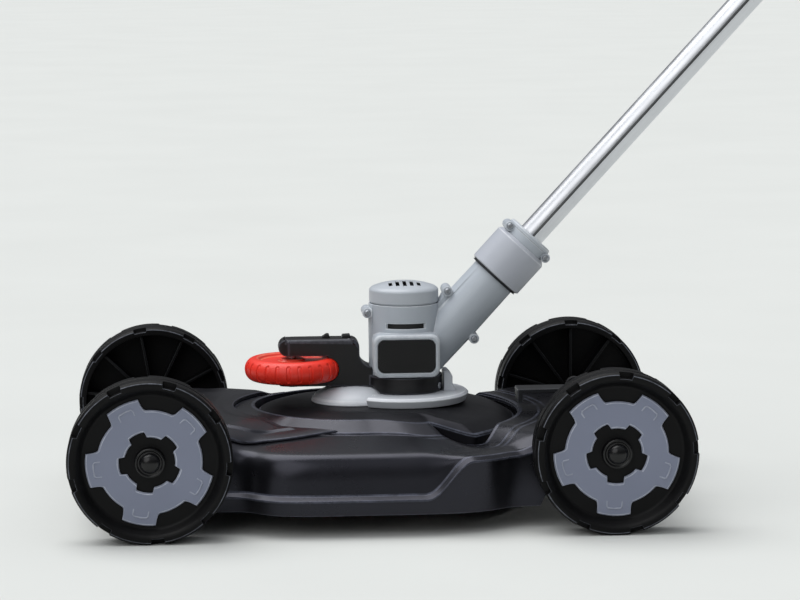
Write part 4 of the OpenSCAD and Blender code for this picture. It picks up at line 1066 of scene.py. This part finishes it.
# %% Guard
def guard_section(angle):
    q = half_turn(angle)
    r, c = guard_r(q), flare(q)
    edge = 32 + 30 * step(44, 50, q) + (FLANGE_Z - 62) * step(55, 61, q)
    flat = mix(min(r - 26, 122.5), 96, c)
    sag = 9 * c
    return [
        (13.6, GUARD_TOP, 0.4), (flat, GUARD_TOP, 9.0), (r - 18, GUARD_TOP - 2 - 0.6 * sag, 6.0),
        (r - 8, FLANGE_Z + 7 - 0.9 * sag, 4.0), (r - 1.5, FLANGE_Z + 4 - sag, 1.4), (r, FLANGE_Z + 1.5 - sag, 0.8),
        (r + 1.2, min(edge, FLANGE_Z - sag), 0.5), (r - 1.6, min(edge, FLANGE_Z - sag), 0.5),
        (r - 3, FLANGE_Z + 1 - sag, 0.8), (r - 10, FLANGE_Z + 3.6 - 0.9 * sag, 1.5),
        (r - 20, GUARD_TOP - 5.4 - 0.6 * sag, 2.0), (flat, GUARD_TOP - 3.4, 6.0), (13.6, GUARD_TOP - 3.4, 0.4),
    ]


guard = finish_mesh(
    "guard_moulding", swept_ring(guard_section, even(360), placed(HEAD_X, 0, 0), 3), guard_plastic,
    "trimmer", ["guard"], 50,
)
print(guard.name, len(guard.data.polygons), "faces")

# %% [markdown]
# ## Trimmer head
# The light grey gear case carries the black lower body, whose fork holds the guide wheel, and the two halves of the
# grey motor housing stand on it. Housing and body are the solids with their edges rounded. The fork's upper corner and
# top and the frame of the bare badge have larger radii than the rest, so those edges are chosen by place.

# %% Housing and body
BADGE_Y, BADGE_Z = 42.0, 155.3
GUIDE_X, GUIDE_Z, GUIDE_R = -81.5, 139.0, 49.0
FORK_X, FORK_TOP, FORK_ROUND = -13.5, 170.0, 8.0
BOSS_FROM, BOSS_TO, BOSS_SLIM = 6.0, 6.9, 5.2


def on_badge_rim(x, y, z):
    """Outer edges of the frame round the badge."""
    inside = abs(x - MOTOR_X) < 30.2 and abs(z - BADGE_Z) < 17.6
    return abs(y) > BADGE_Y - 0.05 and not inside


def on_fork_corner(x, y, z):
    """Upper rear corner of the fork."""
    return abs(x - FORK_X) < 0.3 and z > FORK_TOP - 0.5


def on_fork_top(x, y, z):
    """Edges of the fork's top, also where it runs down over the rounded corner."""
    along, up = x - (FORK_X - FORK_ROUND), z - (FORK_TOP - FORK_ROUND)
    on_arc = along > -0.3 and up > -0.3 and abs(math.hypot(along, up) - FORK_ROUND) < 0.4
    return z > FORK_TOP - 0.2 and x < -10 or on_arc


def slim_bosses(x, y, z):
    """The bosses of the screws are drawn a little slimmer than the solids have them, as the photograph shows."""
    for bx, bz in bosses:
        away = Vector((x - bx, z - bz))
        if BOSS_FROM < away.length < BOSS_TO:
            away *= BOSS_SLIM / away.length
            return bx + away.x, y, bz + away.y
    return x, y, z


for side in ("left", "right"):
    half = rounded(
        f"housing_{side}", 0.9, housing_plastic, "trimmer", [(on_badge_rim, 3.0, 3)], slim_bosses
    )
    print(half.name, len(half.data.polygons), "faces")
fork_edges = [(on_fork_corner, FORK_ROUND, 5), (on_fork_top, 3.4, 3)]
fork = rounded("lower_body", 1.2, body_plastic, "trimmer", fork_edges)
print(fork.name, len(fork.data.polygons), "faces")

# %% [markdown]
# Three small pieces belong to the housing: a lug above the neck that carries one of the screws, a dark liner behind its
# slot, and a baffle under the cap that keeps one from looking into the motor. Liner and baffle are black sheets that
# stand in for the shade inside, so the slots show a painted shade.

# %% Lug, liner and baffle
lug = [(65.5, 196), (66.5, 205.2), (70.5, 210.5), (74, 217), (80.5, 218.5), (85, 213), (92, 205), (80, 190)]
finish_mesh("housing_lug", prism(lug, -11, 11, edge=2.4), housing_plastic, "trimmer", [], 40)


def liner_section(angle):
    return [(32.2, 180.6, 0.1), (33.1, 180.6, 0.1), (33.1, 189.0, 0.1), (32.2, 189.0, 0.1)]


def baffle_section(angle):
    return [
        (7, 214.6, 0.2), (19, 214.2, 0.4), (32.2, 211.4, 0.4), (32.2, 210.4, 0.2), (19, 213.2, 0.4), (7, 213.6, 0.2),
    ]


# Both are black sheets that stand in for the shade inside the housing and under the cap.
for name, section in (("slot_liner", liner_section), ("cap_baffle", baffle_section)):
    liner = swept_ring(section, even(96), placed(MOTOR_X, 0, 0), 1)
    print(finish_mesh(name, liner, trim_plastic, "trimmer", []).name)

# %% [markdown]
# The fork has a wedge and a low stop on its top, and its leg is hollowed to follow the wheel. A small screw holds the
# body to the gear case on its rear end.

# %% Small forms of the fork
wedge = [(-53.8, 169.4), (-46.7, 174.1), (-44.1, 174.1), (-42.6, 169.4)]
stop = [(-31.4, 169.4), (-30.2, 173.0), (-22.6, 173.4), (-21.6, 169.4)]
HOLLOW_R, HOLLOW_BACK, HOLLOW_LOW, HOLLOW_HIGH = 39.5, 53.4, -13.2, 15.9
HOLLOW_ROWS = (-15.56, -11.4, -7.6, -3.8, 0.0, 3.8, 7.6, 11.4, 15.56)
curve = [
    (HOLLOW_R + 10.2 * math.cos(math.radians(t)), 12.2 * math.sin(math.radians(t))) for t in range(-75, 91, 15)
]
hollow = bmesh.new()
hollow.faces.layers.float.new("wear_and_highlight")
rows = []
for y in HOLLOW_ROWS:
    rim = [
        (math.sqrt(r * r - y * y), z) for r, z in [(HOLLOW_R + 2.6, HOLLOW_LOW), *curve, (HOLLOW_R, HOLLOW_HIGH)]
    ]
    rim += [(HOLLOW_BACK, HOLLOW_HIGH), (HOLLOW_BACK, HOLLOW_LOW)]
    rows.append([hollow.verts.new(Vector((GUIDE_X + x, y, GUIDE_Z + z)) * MM) for x, z in rim])
for one, two in zip(rows, rows[1:]):
    for i in range(len(rim)):
        k = (i + 1) % len(rim)
        hollow.faces.new((one[i], one[k], two[k], two[i]))
hollow.faces.new(rows[0])
hollow.faces.new(rows[-1][::-1])
bmesh.ops.recalc_face_normals(hollow, faces=hollow.faces)
for name, bm in (
    ("fork_wedge", prism(wedge, -5.0, 5.0)),
    ("fork_stop", prism(stop, -6.5, 6.5)),
    ("fork_hollow", hollow),
):
    print(finish_mesh(name, bm, body_plastic, "trimmer", [], 30).name)
spot = Vector((34.5, -17.6, 0))
set_screws(
    "body_screw", (3.4, 1.6, 1.6, 3.0), [(Vector((MOTOR_X, 0, 121.5)) + spot, spot.normalized())],
    at_home, dark_screw, "trimmer", [],
)

# %% [markdown]
# The gear case is a round plate with a soft edge. A low dome beside it covers the large gear, and a post behind it
# steadies the body. Plate and dome are lathe sections about the motor and the spindle, hollow for the two gears.

# %% Gear case
CASE_LOW, CASE_TOP, GEAR_TOP, PLATE_R, PLATE_END = 105, 115, 112.7, 66, 131


def plate_section(angle):
    """Round plate. Its rim ends on each side of the dome, where only a thin disc goes on under the motor."""
    off = abs((angle + 180) % 360 - 180)
    share = step(PLATE_END - 1.5, PLATE_END + 1.5, off)
    r, low = mix(PLATE_R, 47, share), mix(CASE_LOW, GEAR_TOP - 0.1, share)
    h = CASE_TOP - low
    return [
        (20.7, low, 0.1), (r - h * 0.34, low, 0.2), (r - h * 0.28, low + h * 0.08, 0.3),
        (r, CASE_TOP - h * 0.26, 0.9), (r - h * 0.28, CASE_TOP, 0.9), (6.1, CASE_TOP, 0.1), (6.1, GEAR_TOP, 0.0),
        (20.7, GEAR_TOP, 0.0),
    ]


def dome_section(angle):
    return [
        (37.2, CASE_LOW, 0.1), (42.8, CASE_LOW, 0.3), (43.0, 106.2, 0.6), (41.6, 109.4, 1.5), (38.6, 112.8, 2.5),
        (33.5, 116.2, 4.0), (26, 119.4, 5.0), (15, 121.6, 5.0), (0, 122.2, 0.0), (0, 119.6, 0.0), (11.05, 119.6, 0.1),
        (11.05, 112.5, 0.1), (37.2, 112.5, 0.1),
    ]


plate_angles = sorted(set(even(180) + [180 + s * a for s in (-1, 1) for a in (47.5, 48.2, 49, 49.8, 50.5)]))
finish_mesh(
    "gear_case_plate", swept_ring(plate_section, plate_angles, placed(MOTOR_X, 0, 0), 3), case_plastic, "trimmer",
    ["gear_case"], 40,
)
finish_mesh(
    "gear_case_dome", swept_ring(dome_section, even(144), placed(HEAD_X, 0, 0), 3), case_plastic, "trimmer", [],
    40,
)
post = [(72.6, 114.6), (72.6, 135.4), (77.2, 135.4), (81.6, 130.6), (81.6, 121.0), (84.6, 116.4), (84.6, 114.6)]
finish_mesh("gear_case_post", prism(post, -15, 15, edge=1.0), case_plastic, "trimmer", [], 30)
print("gear case:", len(plate_angles), "sections in its plate")

# %% [markdown]
# The cap of the motor has an upright band, a rounded corner and a low dome with five slots for the cooling air. The
# lathe section is turned first and the slots are then cut out of it.

# %% Motor cap
CAP_Z = HOUSING_TOP + 0.3


def cap_section(angle):
    return [
        (33, CAP_Z, 0.3), (34.1, CAP_Z, 0.2), (34.1, CAP_Z + 1.2, 0.2), (35.5, CAP_Z + 1.2, 0.4),
        (35.5, CAP_Z + 13.6, 1.5), (32.6, CAP_Z + 16.4, 2.4), (20, CAP_Z + 20.4, 8.0),
        (0, CAP_Z + 22.3, 0.0), (0, CAP_Z + 21.1, 0.0), (20, CAP_Z + 19.3, 6.0), (30, CAP_Z + 16.0, 2.0),
        (33.2, CAP_Z + 12.2, 1.0),
    ]


SLOT_PITCH, SLOT_W, SLOT_Y = 7.2, 3.7, -13.0
slots = bmesh.new()
for i in range(-2, 3):
    x, half = MOTOR_X + i * SLOT_PITCH, 10.0 - 0.9 * i * i
    low = (x - SLOT_W / 2, SLOT_Y - half, CAP_Z + 12)
    add_block(slots, low, (x + SLOT_W / 2, SLOT_Y + half, CAP_Z + 28))
slots.transform(at_home)
cap = finish_mesh(
    "motor_cap_shell", cut(swept_ring(cap_section, even(144), placed(MOTOR_X, 0, 0), 4, 0.0), slots, 0.35),
    cap_plastic, "trimmer", ["motor_cap"], 40,
)
slots.free()
print(cap.name, len(cap.data.polygons), "faces")

# %% [markdown]
# Inside the head and under it are the motor, the two gears and the string head, and a bare plate lies in each frame of
# the housing. Their solids have the right shapes, so each gets a rounded copy on the body that it moves with.

# %% Pieces inside the head
rounded_all(
    [
        ("badge_plates", 0.4, badge_plastic, "badge_black"),
        ("line_cutter", 0.3, screw_steel, "steel"),
        ("motor_stator", 0.3, stack_steel, "lamination"),
        ("field_coils", 0.8, winding_copper, "copper"),
        ("brush_holders", 0.3, brass_plate, "brass"),
        ("carbon_brushes", 0.2, carbon_black, "carbon"),
        ("ball_bearings", 0.3, screw_steel, "steel"),
        ("guide_pin", 0.4, axle_steel, "steel"),
    ],
    "trimmer",
)
rounded_all(
    [
        ("armature_shaft", 0.4, axle_steel, "steel"),
        ("armature_core", 0.3, stack_steel, "lamination"),
        ("commutator", 0.3, winding_copper, "copper"),
        ("motor_fan", 0.2, fan_plastic, "fan_black"),
        ("pinion", 0.1, gear_steel, "gear_steel"),
    ],
    "armature",
)
rounded_all(
    [
        ("spindle", 0.4, axle_steel, "steel"),
        ("spindle_gear", 0.1, gear_nylon, "gear_nylon"),
        ("spool_housing", 0.8, trim_plastic, "fan_black"),
        ("spool", 0.4, trim_plastic, "fan_black"),
        ("bump_cap", 0.6, red_plastic, "cap_red"),
        ("spool_spring", 0.0, spring_steel, "steel"),
        ("line_eyelet", 0.2, screw_steel, "steel"),
        ("cutting_line", 0.2, line_nylon, "line_nylon"),
    ],
    "string_head",
)

# %% [markdown]
# ## Guide wheel
# A red wheel keeps the string off walls and edges. Its rim is fat and half round, with a shallow pill-shaped notch
# every few millimetres for grip. The sweep takes fine steps at the notches, and the section sinks the rim there.

# %% Guide wheel
NOTCHES, GUIDE_HALF, RIM_ROUND, RIM_STEPS = 26, 11.5, 9.5, 40


def guide_section(angle):
    """Half-round rim. A pill-shaped notch, 4.4 mm wide and 17 mm tall, is sunk a little into it."""
    r, h = GUIDE_R, GUIDE_HALF
    aside = abs((angle + 180 / NOTCHES) % (360 / NOTCHES) - 180 / NOTCHES) * math.radians(1) * r
    rim = []
    for i in range(RIM_STEPS + 1):
        t = math.radians(mix(-90, 90, i / RIM_STEPS))
        x, z = r - RIM_ROUND + RIM_ROUND * math.cos(t), h * math.sin(t)
        outside = math.hypot(aside, max(0.0, abs(t) * 10.5 - 6.3)) - 2.2
        sunk = 1.1 * (1 - step(-0.16, 0.16, outside)) * (1 - 0.45 * step(0.0, -2.0, outside))
        rim.append((x - sunk * math.cos(t), z - sunk * math.sin(t), 0.0))
    return [
        (4.06, -h + 1, 0.3), (12, -h + 1, 0.8), (14, -h + 3.5, 1.0), (r - 16, -h + 3.5, 1.2), (r - 13.5, -h, 1.4),
        *rim, (r - 13.5, h, 1.4), (r - 16, h - 3.5, 1.2), (14, h - 3.5, 1.0), (12, h - 1, 0.8), (4.06, h - 1, 0.3),
    ]


notch_steps = [-2.8, -2.68, -2.57, -2.46, -2.3, -1.9, -1.2, 0, 1.2, 1.9, 2.3, 2.46, 2.57, 2.68, 2.8, 4.9, 6.92]
guide_angles = sorted((i * 360 / NOTCHES + a) % 360 for i in range(NOTCHES) for a in notch_steps)
guide = finish_mesh(
    "guide_wheel_moulding",
    swept_ring(guide_section, guide_angles, placed(GUIDE_X, 0, GUIDE_Z), 2),
    red_plastic, "guide_wheel", ["guide_wheel"], 60,
)
print(guide.name, len(guide.data.polygons), "faces")

# %% [markdown]
# ## Collar, tube and clamp
# The collar is a plain sleeve with chamfered ends that is turned by hand to free the tube. It runs on a narrow black
# seal with a groove in it, and a clamp with two ears grips the tube above it. All are lathe sections on the tube's
# axis.

# %% Collar and shaft pieces
COLLAR_R, CLAMP_S = 30.0, 177.3
TUBE_IN, TUBE_OUT, TUBE_FOOT, TUBE_END = 12, 13.46, 135, 834
GROOVE, GROOVE_DEEP = (1, 270, 4.4, 1.2), 2.0


def collar_section(angle):
    return [
        (25.0, 138.8, 0.3), (COLLAR_R - 1.2, 138.8, 0.5), (COLLAR_R, 140.0, 0.5), (COLLAR_R, 177.2, 0.7),
        (COLLAR_R - 3.2, 180.6, 0.7), (25.4, 180.6, 0.3), (25.4, 176.6, 0.2), (14, 176.6, 0.2), (14, 145.3, 0.2),
        (25.0, 145.3, 0.2),
    ]


def seal_section(angle):
    return [
        (24.5, 136.2, 0.2), (27.4, 136.2, 0.4), (28.0, 137.0, 0.3), (26.8, 137.4, 0.2), (26.8, 137.8, 0.2),
        (28.2, 138.1, 0.3), (28.2, 138.7, 0.2), (24.5, 138.7, 0.2),
    ]


def clamp_section(angle):
    return [
        (13.52, CLAMP_S, 0.2), (24.6, CLAMP_S, 0.4), (24.6, 188.8, 0.6), (25.6, 190.0, 0.5), (25.6, 192.8, 0.8),
        (24.0, 194.2, 0.8), (20.5, 194.2, 0.6), (19.6, 192.6, 0.5), (13.52, 192.6, 0.3),
    ]


def tube_section(angle):
    """Drawn wall with a groove on its left side, where the wall bends inwards."""
    sunk = GROOVE_DEEP * step(0, 1, ring_share(angle, *GROOVE))
    inner, outer = TUBE_IN - sunk, TUBE_OUT - sunk
    return [(inner, TUBE_FOOT, 0.2), (outer, TUBE_FOOT, 0.3), (outer, TUBE_END, 0.3), (inner, TUBE_END, 0.2)]


def ear_section(angle):
    return [(1.95, -15, 0.2), (4.9, -15, 0.8), (4.9, 15, 0.8), (1.95, 15, 0.2)]


print("tube:", TUBE_END - TUBE_FOOT, "mm long,", 2 * TUBE_OUT, "mm thick")

# %% Sweep the collar, the clamp and the tube
finish_mesh(
    "collar_sleeve", swept_ring(collar_section, even(128), tube_frame, 3), collar_plastic, "trimmer", ["twist_collar"],
)
finish_mesh("collar_seal", swept_ring(seal_section, even(128), tube_frame, 2), seal_rubber, "trimmer", [])
finish_mesh(
    "tube_clamp_ring", swept_ring(clamp_section, even(128), tube_frame, 3), housing_plastic, "shaft", ["tube_clamp"],
)
for name, x in (("tube_clamp_ear_front", -CLAMP_EAR), ("tube_clamp_ear_rear", CLAMP_EAR)):
    ear_frame = tube_frame @ Matrix.Translation((x, 0, CLAMP_S + 8.5)) @ Matrix.Rotation(math.pi / 2, 4, "X")
    finish_mesh(name, swept_ring(ear_section, even(48), ear_frame, 3), housing_plastic, "shaft", [])
tube_angles = ring_angles([GROOVE, (*GROOVE[:3], 0.6)], 120)
bm = swept_ring(tube_section, tube_angles, tube_frame, 2)
# The faces in the groove get groove_shade, a painted shade in the groove.
groove_shade = bm.faces.layers.float.new("groove_shade")
to_axis = tube_frame.inverted()
for face in bm.faces:
    at = to_axis @ face.calc_center_median()
    face[groove_shade] = 1.0 if at.xy.length < 13.0 and at.y < -9.5 else 0.0
finish_mesh("tube_drawn", bm, tube_metal, "shaft", ["tube"], 40)
rounded_all([("aux_clamp", 0.8, trim_plastic, "trim_black")], "shaft")

# %% [markdown]
# ## Handles
# The main handle is two black halves with a closed grip. Each half is a stack of outlines from the parting face to
# the side, where they close in on a round edge, and the bore, the switch openings and the inlet are then cut out of
# it. Soft ribs on its sides keep a hand from slipping: one bar on each side, repeated along the grip by the row tree.

# %% Outline of the main handle
FLAT_SIDE, EDGE_ROUND = 13.5, 4.5
GRIP_OUT = [
    (-22, 0, 9), (22, 0, 9), (22, 61, 12), (LOOP_LOW, 61, 20), (LOOP_LOW, 269, 20), (16, 270, 10), (16, 290, 7),
    (-16, 290, 7), (-16, 271, 5), (-24, 267, 9), (-24, 74, 12), (-22, 52, 12),
]
GRIP_HOLE = [(12, 98, 13), (12, 240, 13), (LOOP_LOW - 18, 240, 13), (LOOP_LOW - 18, 98, 13)]


def closed_in(loop, by):
    """The loop moved into the material on its left, with the corners mitred."""
    moved = []
    for i, here in enumerate(loop):
        one, two = (here - loop[i - 1]).normalized(), (loop[(i + 1) % len(loop)] - here).normalized()
        out = Vector((one.y + two.y, -one.x - two.x)) / (1 + one.dot(two))
        moved.append(here - out * by)
    return moved


def handle_half(s):
    """One half. Each layer is a distance off the parting face, and how far the outlines are closed in there."""
    bm = bmesh.new()
    bm.faces.layers.float.new("wear_and_highlight")
    layers = [(0.0, 0.6), (0.6, 0.0)]
    for degrees in range(0, 91, 15):
        t = math.radians(degrees)
        layers.append((FLAT_SIDE + EDGE_ROUND * math.sin(t), EDGE_ROUND * (1 - math.cos(t))))
    ends = {0: [], len(layers) - 1: []}
    for corners in (GRIP_OUT, GRIP_HOLE):
        loop = [point for point, radius in round_corners(corners, 8)]
        rings = [
            [bm.verts.new(tube_frame @ Vector((p.x, s * y, HANDLE_S + p.y))) for p in closed_in(loop, by)]
            for y, by in layers
        ]
        for one, two in zip(rings, rings[1:]):
            for i in range(len(loop)):
                bm.faces.new((one[i - 1], one[i], two[i], two[i - 1]))
        for level, edges in ends.items():
            edges += [bm.edges.get((rings[level][i - 1], rings[level][i])) for i in range(len(loop))]
    for edges in ends.values():
        bmesh.ops.triangle_fill(bm, use_beauty=True, edges=edges)
    bmesh.ops.recalc_face_normals(bm, faces=bm.faces)
    return bm


print("handle:", GRIP_OUT[6][1], "mm long")

# %% Handles and switches
BORE_R, BORE_DEEP = 13.58, 97
OPENINGS = [((-8, -8.4, 114), (32, 8.4, 168)), ((-28, -6.4, 188), (-4, 6.4, 212.8)), ((-10, -12, 268), (10, 12, 308))]
rounded_all([("aux_handle", 1.0, grip_rubber, "handle_black")], "aux_handle")
hollows = bmesh.new()
bmesh.ops.create_cone(
    hollows, cap_ends=True, segments=96, radius1=BORE_R, radius2=BORE_R, depth=BORE_DEEP,
    matrix=Matrix.Translation((0, 0, BORE_DEEP / 2 - 1)),
)
for low, high in OPENINGS:
    add_block(hollows, low, high)
hollows.transform(Matrix.Translation((0, 0, HANDLE_S)))
hollows.transform(tube_frame)
for side, s in (("left", -1), ("right", 1)):
    half = finish_mesh(
        f"handle_{side}_moulding", cut(handle_half(s), hollows, 0.5), body_plastic, "handle", [f"handle_{side}"],
        40,
    )
    print(half.name, len(half.data.polygons), "faces")
    rib_turn = Matrix.Rotation(-s * math.pi / 2, 4, "X")
    rib_frame = tube_frame @ Matrix.Translation((0, s * 17.9, HANDLE_S + 100)) @ rib_turn
    grown(
        f"grip_ribs_{side}", drawn(bar((-17, -1.3, -0.6), (5, 1.3, 0.9), 0.4, 0.3)), row_tree,
        {"Copies": 11, "Step": (0, -s * 6.5, 0), "Finish": grip_rubber}, rib_frame, "handle", [],
    )
rounded_all([("trigger", 0.6, red_plastic, "switch_red")], "trigger")
rounded_all([("lock_button", 1.0, red_plastic, "switch_red")], "lock_button")
hollows.free()
